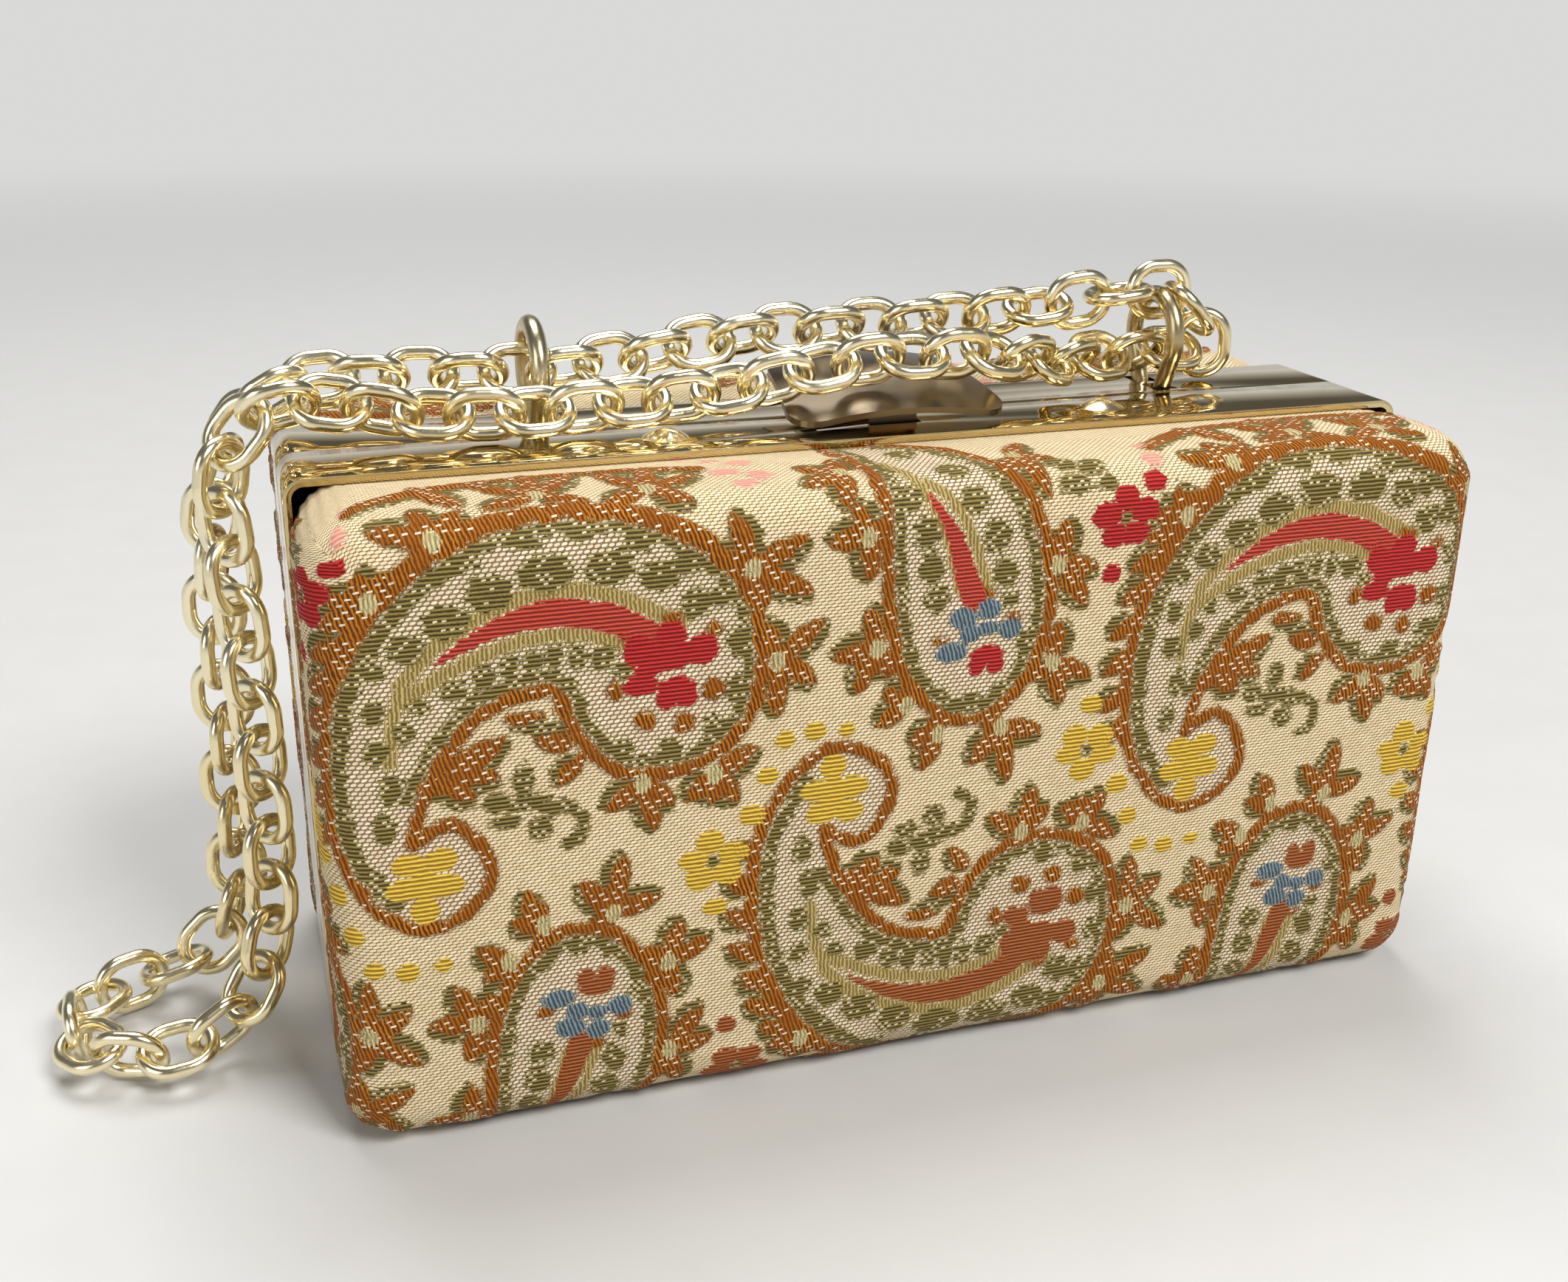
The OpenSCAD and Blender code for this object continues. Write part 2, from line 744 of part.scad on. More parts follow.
module yellow_figures() {
    polygon(flower([-79.2, 43.6], 4.6, 5));
    polygon(flower([23, 51], 4.4, 5));
    for (p = [[23.3, 58.3], [28.2, 44.6], [30.7, 39.6], [33.4, 35.2], [38.4, 33.2], [43.6, 32.8]])
        translate(p) polygon(flower([0, 0], 1.4, 1));
}

module blue_figures() {
    polygon(flower([3.4, 72.9], 3.9, 5));
}

module red_sprays() {
    polygon(flower([27, 87.6], 4.4, 5));
    for (p = [[32, 93], [25, 79]])
        translate(p) polygon(flower([0, 0], 1.6, 1));
}

// The pattern repeats both ways, and each upright row has a row turned over between it and the next
module upright_rows() {
    for (i = [-1 : 1], j = [-1 : 0])
        translate([i * repeat_x, j * repeat_z]) children();
}

module turned_rows() {
    for (i = [-1 : 1], j = [0 : 1])
        translate([(i - 0.5) * repeat_x, glide_z + j * repeat_z]) mirror([0, 1]) children();
}

module both_rows() {
    upright_rows() children();
    turned_rows() children();
}

module face() {
    flat = edge_r - swell_left * side_swell;
    translate([0, frame_h / 2]) square([panel_w - 2 * flat, panel_h - 2 * flat], center = true);
}

module print_on_face() {
    translate([0, 0, face_d + 0.01])
        linear_extrude(print_t)
            intersection() {
                face();
                children();
            }
}

module print_rust() {
    color("#96501e") print_on_face() both_rows() rust_figures();
}

module print_olive() {
    color("#6e6437") print_on_face() both_rows() olive_figures();
}

module print_straw() {
    color("#beaa6e") print_on_face() both_rows() straw_figures();
}

module print_red() {
    color("#b9282d") print_on_face() upright_rows() { red_figures(); red_sprays(); }
}

module print_terracotta() {
    color("#af5f37") print_on_face() turned_rows() { red_figures(); red_sprays(); }
}

module print_yellow() {
    color("#e1b43c") print_on_face() both_rows() yellow_figures();
}

module print_blue() {
    color("#5a6e82") print_on_face() both_rows() blue_figures();
}

front_frame();
rear_frame();
front_board();
rear_board();
front_cover();
rear_cover();
front_lining();
rear_lining();
hinge_leaf_front();
hinge_leaf_rear();
hinge_pin();
clasp_lever();
clasp_hook();
clasp_base();
clasp_pin();
catch_plate();
catch_rivets();
ring_left();
ring_right();
chain_ring_loop();
chain_front_run();
chain_left_drop();
chain_table_pile();
chain_left_rise();
chain_back_run();
front_half() print_rust();  // front_print_rust
front_half() print_olive();  // front_print_olive
front_half() print_straw();  // front_print_straw
front_half() print_red();  // front_print_red
front_half() print_terracotta();  // front_print_terracotta
front_half() print_yellow();  // front_print_yellow
front_half() print_blue();  // front_print_blue
rear_half() print_rust();  // rear_print_rust
rear_half() print_olive();  // rear_print_olive
rear_half() print_straw();  // rear_print_straw
rear_half() print_red();  // rear_print_red
rear_half() print_terracotta();  // rear_print_terracotta
rear_half() print_yellow();  // rear_print_yellow
rear_half() print_blue();  // rear_print_blue
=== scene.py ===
"""Box purse: polished bands, brocade panels, clasp, rings and chain strap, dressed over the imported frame."""

import math

import bpy
import numpy as np
from mathutils import Matrix, Vector


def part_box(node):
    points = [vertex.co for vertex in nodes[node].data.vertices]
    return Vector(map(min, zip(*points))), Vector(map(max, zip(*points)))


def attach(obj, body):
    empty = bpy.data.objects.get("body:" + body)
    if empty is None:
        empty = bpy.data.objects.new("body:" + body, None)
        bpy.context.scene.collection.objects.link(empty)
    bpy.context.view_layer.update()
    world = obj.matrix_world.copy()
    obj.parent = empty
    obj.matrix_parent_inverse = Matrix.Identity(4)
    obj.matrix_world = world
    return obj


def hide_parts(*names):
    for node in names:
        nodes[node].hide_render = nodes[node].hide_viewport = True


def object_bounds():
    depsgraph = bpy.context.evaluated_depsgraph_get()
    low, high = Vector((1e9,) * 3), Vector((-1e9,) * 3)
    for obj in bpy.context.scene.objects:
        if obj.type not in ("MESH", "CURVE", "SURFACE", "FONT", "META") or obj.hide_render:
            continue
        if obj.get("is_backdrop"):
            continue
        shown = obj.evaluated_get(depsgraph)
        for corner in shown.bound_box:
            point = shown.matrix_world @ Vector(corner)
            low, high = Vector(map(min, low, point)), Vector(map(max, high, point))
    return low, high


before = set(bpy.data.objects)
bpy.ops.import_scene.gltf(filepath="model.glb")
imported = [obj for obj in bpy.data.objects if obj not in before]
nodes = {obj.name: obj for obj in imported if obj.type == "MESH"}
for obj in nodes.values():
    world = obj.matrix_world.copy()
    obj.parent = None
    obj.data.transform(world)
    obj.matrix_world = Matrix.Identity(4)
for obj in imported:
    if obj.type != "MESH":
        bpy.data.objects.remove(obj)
cad_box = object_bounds()
MM = 0.001

# Sizes read from the frame, in millimetres
band_low, band_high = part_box("front_frame")
frame_w = (band_high.x - band_low.x) / MM
frame_h = band_high.z / MM
band_d = -band_low.y / MM
seam_gap = -2 * band_high.y / MM
face_d = -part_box("front_cover")[0].y / MM
panel_d = face_d - band_d

# Sizes of the parts' own forms, in millimetres
sheet_t = 1.2
frame_r = 3.0
frame_soft = 0.25
panel_gap = 0.1
panel_r = 7.0
edge_r = 7.0
side_swell = 1.2
swell_left = 0.96
swell_depth = 15.0
cover_t = 1.6
cover_lip = 13.6
cover_crown = 0.5
cover_pitch = 0.6
lining_inset = 4.0
lining_lip = 10.5
lining_pitch = 1.6
lining_hem = 0.8
lining_ripple = 0.25
lining_face = 30.0
pleat_d = 0.09
pleats = 22
gather_from = 6.0
gather_run = 14.0
hinge_z = 2.4
notch_d = 2.6
fittings_x = 3.0
ring_y = 8.0
ring_slot_w = 4.75
ring_slot_l = 5.07
ring_slot_out = 3.165
hook_slot_w = 8.8
hook_slot_l = 2.6
hook_slot_y = -7.0
slot_cut = 6.0
panel_w = frame_w - 2 * (sheet_t + panel_gap)
panel_h = frame_h - 2 * (sheet_t + panel_gap)
middle_z = frame_h / 2


# Small helpers for modelling

def deselect():
    bpy.ops.object.select_all(action="DESELECT")


def make_active(piece):
    deselect()
    piece.select_set(True)
    bpy.context.view_layer.objects.active = piece


def settle(piece):
    make_active(piece)
    bpy.ops.object.transform_apply(location=True, rotation=True, scale=True)


def add_block(name, size, place):
    """A cube at its size and place, both in millimetres."""
    deselect()
    bpy.ops.mesh.primitive_cube_add(size=1, location=Vector(place) * MM)
    block = bpy.context.object
    block.name = name
    block.scale = Vector(size) * MM
    settle(block)
    return block


def pick(piece, kind, test):
    """Selects the faces or edges of a piece that pass a test and leaves the piece in edit mode."""
    make_active(piece)
    bpy.ops.object.mode_set(mode="EDIT")
    bpy.ops.mesh.select_mode(type=kind)
    bpy.ops.mesh.select_all(action="DESELECT")
    bpy.ops.object.mode_set(mode="OBJECT")
    mesh = piece.data
    if kind == "FACE":
        for face in mesh.polygons:
            face.select = test(face)
    else:
        for edge in mesh.edges:
            a, b = (mesh.vertices[i].co for i in edge.vertices)
            edge.select = test(a, b)
    bpy.ops.object.mode_set(mode="EDIT")


def pick_all(piece):
    make_active(piece)
    bpy.ops.object.mode_set(mode="EDIT")
    bpy.ops.mesh.select_all(action="SELECT")


def leave_edit():
    bpy.ops.object.mode_set(mode="OBJECT")


def bevel_edges(piece, test, width, segments):
    pick(piece, "EDGE", test)
    bpy.ops.mesh.bevel(offset=width * MM, segments=segments, affect="EDGES")
    leave_edit()


def finish_with(piece, kind, **settings):
    """Adds a modifier, sets it and applies it."""
    make_active(piece)
    modifier = piece.modifiers.new(kind.lower(), kind)
    for key, value in settings.items():
        setattr(modifier, key, value)
    bpy.ops.object.modifier_apply(modifier=modifier.name)


def cut_away(piece, cutter):
    finish_with(piece, "BOOLEAN", operation="DIFFERENCE", object=cutter, solver="EXACT")
    bpy.data.objects.remove(cutter, do_unlink=True)


def smooth(piece, degrees=40):
    make_active(piece)
    bpy.ops.object.shade_smooth_by_angle(angle=math.radians(degrees))


def coordinates(piece):
    co = np.zeros(len(piece.data.vertices) * 3)
    piece.data.vertices.foreach_get("co", co)
    return co.reshape(-1, 3)


def place_vertices(piece, co):
    piece.data.vertices.foreach_set("co", np.asarray(co, float).ravel())
    piece.data.update()


def keep_on_points(piece, name, values):
    """Stores a number on each point, for the material to read."""
    piece.data.attributes.new(name, "FLOAT", "POINT").data.foreach_set("value", values)


def dress(piece, material):
    piece.data.materials.clear()
    piece.data.materials.append(material)


# Shader values that can be added and multiplied

class Wire:
    """One socket of a material. Sums on it add Math nodes."""

    def __init__(self, shade, socket):
        self.shade = shade
        self.socket = socket

    def sum(self, operation, a, b):
        return self.shade.node("ShaderNodeMath", {"operation": operation}, {0: a, 1: b})

    def __add__(self, other):
        return self.sum("ADD", self, other)

    def __radd__(self, other):
        return self.sum("ADD", other, self)

    def __sub__(self, other):
        return self.sum("SUBTRACT", self, other)

    def __rsub__(self, other):
        return self.sum("SUBTRACT", other, self)

    def __mul__(self, other):
        return self.sum("MULTIPLY", self, other)

    def __rmul__(self, other):
        return self.sum("MULTIPLY", other, self)

    def __truediv__(self, other):
        return self.sum("DIVIDE", self, other)

    def __gt__(self, other):
        return self.sum("GREATER_THAN", self, other)


class Shade:
    """A material under construction."""

    def __init__(self, name):
        self.material = bpy.data.materials.new(name)
        self.material.use_nodes = True
        self.tree = self.material.node_tree
        self.tree.nodes.clear()

    def node(self, kind, settings=None, inputs=None, out=0):
        made = self.tree.nodes.new(kind)
        for key, value in (settings or {}).items():
            if key == "stops":
                self.set_stops(made.color_ramp, value)
            else:
                setattr(made, key, value)
        for key, value in (inputs or {}).items():
            self.feed(made.inputs[key], value)
        return Wire(self, made.outputs[out]) if len(made.outputs) else made

    def set_stops(self, ramp, stops):
        while len(ramp.elements) < len(stops):
            ramp.elements.new(1)
        for element, (at, colour) in zip(ramp.elements, stops):
            element.position = at
            element.color = colour

    def feed(self, socket, value):
        if isinstance(value, Wire):
            self.tree.links.new(value.socket, socket)
        else:
            socket.default_value = value

    def maths(self, operation, *values):
        return self.node("ShaderNodeMath", {"operation": operation}, dict(enumerate(values)))

    def mix(self, factor, a, b):
        return self.node("ShaderNodeMix", {"data_type": "RGBA"}, {0: factor, 6: a, 7: b}, 2)

    def soft_step(self, value, low, high):
        settings = {"interpolation_type": "SMOOTHSTEP"}
        return self.node("ShaderNodeMapRange", settings, {0: value, 1: low, 2: high, 3: 0.0, 4: 1.0})

    def attribute(self, name):
        return self.node("ShaderNodeAttribute", {"attribute_name": name}, {}, 2)

    def vector(self, x, y, z=0.0):
        return self.node("ShaderNodeCombineXYZ", {}, {0: x, 1: y, 2: z})

    def place(self):
        return self.node("ShaderNodeTexCoord", {}, {}, 3)

    def noise(self, vector, scale, detail=2.0, roughness=0.5):
        inputs = {"Vector": vector, "Scale": scale, "Detail": detail, "Roughness": roughness}
        return self.node("ShaderNodeTexNoise", {}, inputs)

    def stretched(self, vector, scale):
        return self.node("ShaderNodeMapping", {}, {0: vector, 3: scale})

    def bump(self, height, distance, strength=1.0):
        return self.node("ShaderNodeBump", {}, {"Strength": strength, "Distance": distance, "Height": height})

    def surface(self, **sockets):
        shader = self.tree.nodes.new("ShaderNodeBsdfPrincipled")
        for key, value in sockets.items():
            self.feed(shader.inputs[key.replace("_", " ").title().replace("Ior", "IOR")], value)
        out = self.tree.nodes.new("ShaderNodeOutputMaterial")
        self.tree.links.new(shader.outputs[0], out.inputs[0])
        return self.material


def srgb(r, g, b):
    """A colour given as it looks on a screen, 0 to 255."""
    def linear(c):
        c = c / 255
        return c / 12.92 if c <= 0.04045 else ((c + 0.055) / 1.055) ** 2.4
    return (linear(r), linear(g), linear(b), 1.0)


# Metal finishes

def plated_metal(name, tone, deep, gloss, worn, grain):
    """Gold-tone plate: smudged gloss, faint hairlines and a slightly uneven tone."""
    s = Shade(name)
    at = s.place()
    smudge = s.noise(at, 90.0, 4.0, 0.6)
    cloud = s.noise(at, 25.0, 2.0)
    hairs = s.noise(s.stretched(at, (2200.0, 260.0, 2200.0)), 1.0, 1.0)
    tint = s.mix(s.soft_step(cloud, 0.35, 0.7), tone, deep)
    rough = gloss + worn * s.soft_step(smudge, 0.45, 0.75) + grain * s.soft_step(hairs, 0.6, 0.8)
    relief = s.bump(hairs * 0.4 + smudge * 0.6, 0.00002, 0.5)
    return s.surface(base_color=tint, metallic=1.0, roughness=rough, normal=relief)


band_gold = plated_metal("polished_band", srgb(214, 196, 150), srgb(196, 174, 124), 0.06, 0.07, 0.05)
chain_gold = plated_metal("chain_gold", srgb(247, 237, 205), srgb(238, 223, 180), 0.2, 0.10, 0.04)
satin_gold = plated_metal("satin_ring", srgb(206, 192, 156), srgb(186, 168, 128), 0.27, 0.10, 0.06)
clasp_gold = plated_metal("clasp_pewter", srgb(140, 127, 108), srgb(114, 100, 82), 0.3, 0.10, 0.05)


# The brocade's figures, in millimetres on the flat cloth: X along the purse, Z up from the table

REPEAT_X = 120.5
REPEAT_Z = 150.0
GLIDE_Z = 91.5
SKEW = 1.7
FIGURES_LOW = (-105, 24)
FIGURES_HIGH = (52, 128)

# How far round a figure its depth is reckoned, and the least and greatest depth kept
AROUND = 5
FAR = -6.0
DEEP = 3

# Forms of a leaf, of a star and of the olive leaf under a rust one
LEAF_LEAN = 0.85
LEAF_BLUNT = 0.6
STAR_LEAF = 3.1
STAR_HEART = (1.2, 1.5)
VEIN_SHARE = 0.6
UNDERLEAF_ASIDE = 0.8
UNDERLEAF_AHEAD = 0.6
UNDERLEAF_WIDER = 1.7

PAISLEY = [
    (-80, 50), (-75, 52.5), (-71, 49), (-69.5, 43.5), (-73, 38.5), (-79, 36.5), (-85, 40), (-90, 48),
    (-91.5, 57), (-91, 66), (-89, 74), (-85, 81.6), (-80, 87.2), (-74, 91.6), (-66, 94.5), (-56, 95.5),
    (-46, 93.5), (-38, 89.4), (-32, 82.6), (-30, 74), (-31, 65), (-35, 59.5), (-42, 56.3), (-50, 57),
    (-54, 60), (-57.5, 65), (-59.5, 70.2), (-64, 70.5), (-70, 68), (-75, 62.5), (-78.5, 56), (-80, 50),
]
DROP = [
    (-12, 119), (-13, 112), (-12, 104), (-11.3, 95), (-11.2, 85), (-10.3, 75), (-8, 66.5), (-3, 60.5),
    (3, 58.3), (9, 60.8), (13, 66.5), (15, 74), (14.6, 82), (12.2, 90), (9, 97), (4, 107), (-5, 117),
    (-12, 119),
]
CRESCENT_RED = [
    (-75.5, 76.2, 0.3), (-68, 80.1, 1.3), (-60, 81.8, 2.0), (-52, 80.4, 2.1), (-46, 77, 2.2),
]
CRESCENT_OUTER = [
    (-80, 73.5), (-75.5, 78.4), (-68, 82.8), (-59.5, 84.9), (-51.5, 83.6), (-45, 80.4), (-41.5, 78.6),
]
CRESCENT_INNER = [(-79.5, 71.5), (-73.5, 75), (-67, 77.5), (-60, 78.7), (-54.5, 78), (-49.5, 76.2)]
CRESCENT_TAIL = [(-80, 73), (-81.6, 68), (-82.2, 62.5)]
STEM_RED = [(-4.2, 93.5, 0.4), (-1.2, 88, 1.1), (1, 82, 1.7), (2.6, 77.5, 1.9)]
STEM_STRAW = [(-8.5, 103), (-6, 97), (-3.8, 92), (-1.8, 87), (-0.2, 82), (0.4, 79)]
STEM_STRAW_RIGHT = [(-4, 96), (-0.6, 92), (2, 87), (3.8, 82), (4.8, 79)]
CURL_OLIVE = [(-62, 53.4), (-58.6, 53), (-56.4, 50.8), (-56.6, 48.2), (-58.6, 47)]
TOP_GARLAND = [
    (-86, 99.6), (-79, 104.4), (-71, 107.6), (-62, 109.4), (-52, 110.2), (-43, 109.6), (-35, 107.4),
]

# Lines of one width: thread, points, half width and shift to the left
LINES = [
    ("olive", PAISLEY[6:14], 1.5, -2.4),
    ("olive", PAISLEY[13:25], 1.1, -2.0),
    ("olive", PAISLEY[24:31], 1.25, -2.1),
    ("olive", DROP, 1.2, 2.1),
    ("olive", CURL_OLIVE, 1.0, 0.0),
    ("olive", TOP_GARLAND, 0.8, -1.6),
    ("rust", PAISLEY, 0.95, 0.0),
    ("rust", PAISLEY[10:18], 1.5, 0.5),
    ("rust", DROP, 0.95, 0.0),
    ("rust", TOP_GARLAND, 1.3, 0.0),
    ("straw", CRESCENT_OUTER, 1.2, 0.0),
    ("straw", CRESCENT_INNER, 1.1, 0.0),
    ("straw", CRESCENT_TAIL, 1.0, 0.0),
    ("straw", STEM_STRAW, 1.0, 0.0),
    ("straw", STEM_STRAW_RIGHT, 0.9, 0.0),
]

# Leaf stars: a straw heart and the leaf tips around it
PAISLEY_STARS = [
    ((-31.2, 85.5), [(-23.2, 89.4), (-34, 93.6), (-22.2, 81), (-29.4, 79.4), (-37.5, 88)]),
    ((-27.6, 71.4), [(-20.6, 77), (-21.6, 67.6), (-27.4, 62.6), (-29.6, 77.6)]),
    ((-37, 55), [(-33.2, 50.2), (-41, 51.2), (-30.6, 58.4), (-37.4, 50.2)]),
    ((-47.6, 55), [(-53, 51.4), (-45.6, 47.4), (-43, 51.2)]),
    ((-83.4, 85.6), [(-88.8, 86), (-85.2, 89.8), (-81, 89.4)]),
    ((-74.6, 93), [(-83, 95), (-77, 98.8), (-70.6, 97.6)]),
    ((-59.5, 100.6), [(-68, 107.4), (-60, 113), (-53, 109.6), (-67, 97.6), (-52.8, 97.4)]),
    ((-44.3, 99.6), [(-50, 108.6), (-42, 112), (-36, 105), (-50.4, 97), (-38.4, 95.6)]),
]
DROP_STARS = [
    ((-14.2, 88.4), [(-20.2, 88), (-15.8, 93.4), (-13.6, 82), (-11, 90)]),
    ((-12.4, 71.6), [(-13.8, 78), (-19.2, 70.6), (-15.4, 64.8), (-10, 67)]),
    ((16, 81.6), [(17.2, 88.4), (22.6, 80.8), (21.4, 74.8), (14, 86)]),
    ((16, 66.2), [(16.8, 72.6), (22.8, 63.4), (18.2, 59.2), (12.6, 63.6)]),
    ((-7.4, 62), [(-12, 59.2), (-11.2, 64.8), (-6, 65.6)]),
    ((-2.2, 56.8), [(-6.8, 55.8), (-4.6, 51.2), (-2.8, 60.4)]),
    ((8, 56.6), [(3.4, 50.8), (9.8, 47.2), (15, 55), (4.6, 58.4)]),
    ((-15.6, 100), [(-22, 96.6), (-16.8, 92.6), (-21.6, 104), (-15, 107)]),
    ((12, 101.6), [(14.6, 92), (18, 99.4), (15.4, 108), (8.8, 95)]),
]
# Single leaves: root, tip and width
SINGLE_LEAVES = [
    ((-79, 57.2), (-66.6, 64.6), 4.2), ((-75.6, 59.4), (-71.2, 55.8), 3.2), ((-74, 60.4), (-67.6, 58.6), 2.8),
    ((-66.8, 67), (-61, 67.2), 1.9), ((-57.4, 62.2), (-62.6, 63.6), 3.2), ((-56, 60.4), (-59.6, 56.2), 2.4),
    ((-84.4, 84.6), (-90, 82), 3.0), ((-86.6, 80), (-92.4, 77.6), 3.2), ((-88.4, 75.6), (-93.4, 72.4), 3.0),
    ((-90, 70), (-95, 67), 3.0), ((-91, 64.4), (-95.6, 61), 2.8), ((-91.4, 58.6), (-95.4, 55), 2.8),
    ((-91, 53), (-94.6, 49.6), 2.6), ((-70, 98), (-76, 109), 3.6),
]
# Dots: middle, half length, half height
PAISLEY_OLIVE = [
    (-73.6, 82, 3.5, 2.7), (-67.8, 85.4, 3.4, 2.9), (-60, 87.6, 4.2, 3.0), (-51.4, 87.5, 3.9, 2.8),
    (-44.5, 85.8, 3.1, 2.6), (-39.3, 81.4, 2.6, 2.7), (-79, 78.6, 2.7, 2.4), (-73.2, 72, 2.5, 1.8),
    (-69, 73.6, 1.9, 2.2), (-65.6, 74.6, 1.7, 2.3), (-62.4, 75.1, 1.7, 2.3), (-59.4, 75.4, 1.6, 2.3),
    (-56.4, 75.2, 1.7, 2.3), (-52.7, 74.6, 2.2, 2.1), (-49.8, 72.4, 1.8, 1.5), (-83.4, 76, 2.0, 1.7),
    (-78, 70.4, 1.9, 1.6), (-84, 70.2, 1.8, 2.2), (-80, 66.8, 1.7, 2.0), (-84, 64.4, 1.9, 2.4),
    (-82.4, 58.6, 2.0, 2.8), (-83.6, 52.8, 1.8, 2.6), (-71, 90, 2.8, 1.7), (-63, 92.2, 2.7, 1.7),
    (-55.4, 92.7, 2.7, 1.7), (-47.4, 90.6, 2.6, 1.8), (-40.6, 86.9, 2.2, 2.1), (-35.8, 82, 2.0, 2.4),
    (-33.6, 75, 1.9, 2.4), (-34, 68, 2.0, 2.3), (-36.8, 62.6, 2.2, 1.9), (-43.4, 59.6, 2.4, 1.8),
    (-50.6, 60.6, 2.1, 1.8), (-64.4, 57.6, 1.6, 2.5), (-68.2, 54.8, 2.0, 1.6), (-64, 54.2, 3.4, 1.4),
    (-67, 51.8, 2.2, 1.3), (-60.4, 53, 2.6, 1.3), (-62.4, 50, 1.9, 1.9),
]
DROP_OLIVE = [
    (-5.2, 88.2, 2.3, 2.8), (6, 86.8, 2.6, 2.9), (-4.2, 83, 2.2, 2.7), (7.6, 81.2, 2.3, 2.9),
    (-3.4, 78.2, 2.3, 2.3), (8.4, 76.8, 1.6, 1.6), (-7, 93.4, 2.0, 2.6), (2.8, 92.4, 2.7, 2.4),
    (2.8, 61.6, 1.9, 1.6), (8, 63, 2.0, 1.6), (-2.4, 63.2, 1.7, 1.5), (-7.8, 69, 1.7, 1.8),
    (11.2, 70, 1.6, 2.2), (0.8, 98.2, 2.7, 2.5), (-9.2, 99, 1.6, 2.9), (-3.8, 107, 2.6, 2.8),
    (19, 93.4, 2.8, 1.7), (22.6, 96.4, 2.5, 1.8), (18.6, 97.4, 1.9, 1.7), (24.4, 93.2, 1.8, 1.4),
]
HEAD_PETALS = [
    (-47.6, 75, 2.3, 2.4), (-43, 77, 2.3, 2.1), (-38.6, 74.4, 2.4, 2.3), (-47.6, 70, 2.6, 1.7),
    (-43.2, 74, 4.0, 2.2), (-46.4, 72.4, 2.0, 1.6),
]
HEAD_HEART = [(-42.4, 69, 3.0, 1.7), (-43.8, 67.6, 1.7, 1.8), (-41, 67.6, 1.7, 1.8)]
RUST_DOTS = [
    (-51.2, 69.8, 1.2, 1.5), (-37, 68.2, 1.7, 1.6), (-47, 64.6, 1.6, 1.5), (-41.4, 63.6, 1.5, 1.5),
    (-36.8, 77.2, 1.2, 0.9), (-49.4, 77.6, 1.1, 0.9), (-43, 79.4, 1.5, 0.8),
]
TAIL_PETALS = [
    (-80.8, 47, 2.4, 1.8), (-76.4, 47.2, 2.4, 1.8), (-81.6, 43.2, 2.6, 1.7), (-76, 43.2, 2.7, 1.8),
    (-79, 39.6, 2.1, 2.1), (-78.8, 43.8, 2.2, 2.4),
]
YELLOW_PETALS = [
    (21, 53.2, 2.2, 2.0), (25.2, 52.8, 2.2, 2.0), (20, 50.2, 2.2, 1.6), (26.2, 49.6, 2.3, 1.6),
    (22.6, 47.4, 2.2, 2.0),
]
YELLOW_DOTS = [
    (23.3, 58.3, 1.9, 1.5), (29, 44, 2.0, 1.7), (31.4, 38, 1.7, 1.5), (34, 32.6, 1.6, 1.4),
    (38.6, 31.8, 1.7, 1.5), (43.5, 32.2, 1.4, 1.1),
]
YELLOW_HEART = [(23, 50.6, 1.4, 1.1)]
SPRAY_PETALS = [
    (23.6, 88.4, 2.5, 2.1), (27, 90.8, 2.1, 2.0), (30, 88.8, 2.4, 1.9), (25, 85.2, 2.2, 1.9),
    (28.6, 85.4, 2.3, 1.8),
]
SPRAY_DOTS = [(32, 93, 2.0, 1.7), (25, 79.2, 1.6, 1.6)]
SPRAY_HEART = [(27, 87.6, 1.3, 1.1)]
PINK_DOTS = [
    (33, 97, 1.7, 1.8), (33.4, 102, 1.2, 1.0), (-30, 99.4, 2.0, 1.6), (-27, 102.6, 1.8, 2.2),
    (-31.6, 105, 2.4, 1.8), (-28, 110, 2.2, 2.4), (-31.4, 113.6, 1.6, 1.4), (-35, 118.4, 1.7, 1.6),
    (-40.4, 120.4, 1.6, 1.6), (-46.2, 119.6, 1.4, 1.3),
]
BLUE_PETALS = [
    (1, 74.8, 2.3, 1.7), (5.2, 75.8, 1.9, 1.6), (8.6, 72.4, 1.9, 1.6), (-0.6, 69.6, 2.6, 1.6),
    (2.2, 72.2, 1.7, 1.5), (5, 72.8, 1.9, 1.1),
]
DROP_HEART = [(5.1, 68.6, 2.8, 1.5), (3.6, 66.9, 1.4, 1.6), (6.6, 66.9, 1.4, 1.6)]
DROP_RUST_DOTS = [
    (4.8, 78.2, 1.3, 0.8), (9.2, 74, 1.2, 0.8), (-2.4, 71.6, 1.2, 0.7), (2.4, 75.8, 0.9, 0.6),
]


def curve_through(points, steps=6):
    """A smooth curve through points, as part of a stroke or an outline."""
    p = np.array(points, float)
    before = np.vstack([p[:1], p[:-2]])
    after = np.vstack([p[2:], p[-1:]])
    line = []
    for k in range(steps):
        t = k / steps
        a, b, c, d = before, p[:-1], p[1:], after
        bend = (2 * a - 5 * b + 4 * c - d) * t * t + (3 * b - a - 3 * c + d) * t ** 3
        line.append(0.5 * (2 * b + (c - a) * t + bend))
    return np.vstack([np.stack(line, 1).reshape(-1, p.shape[1]), p[-1:]])


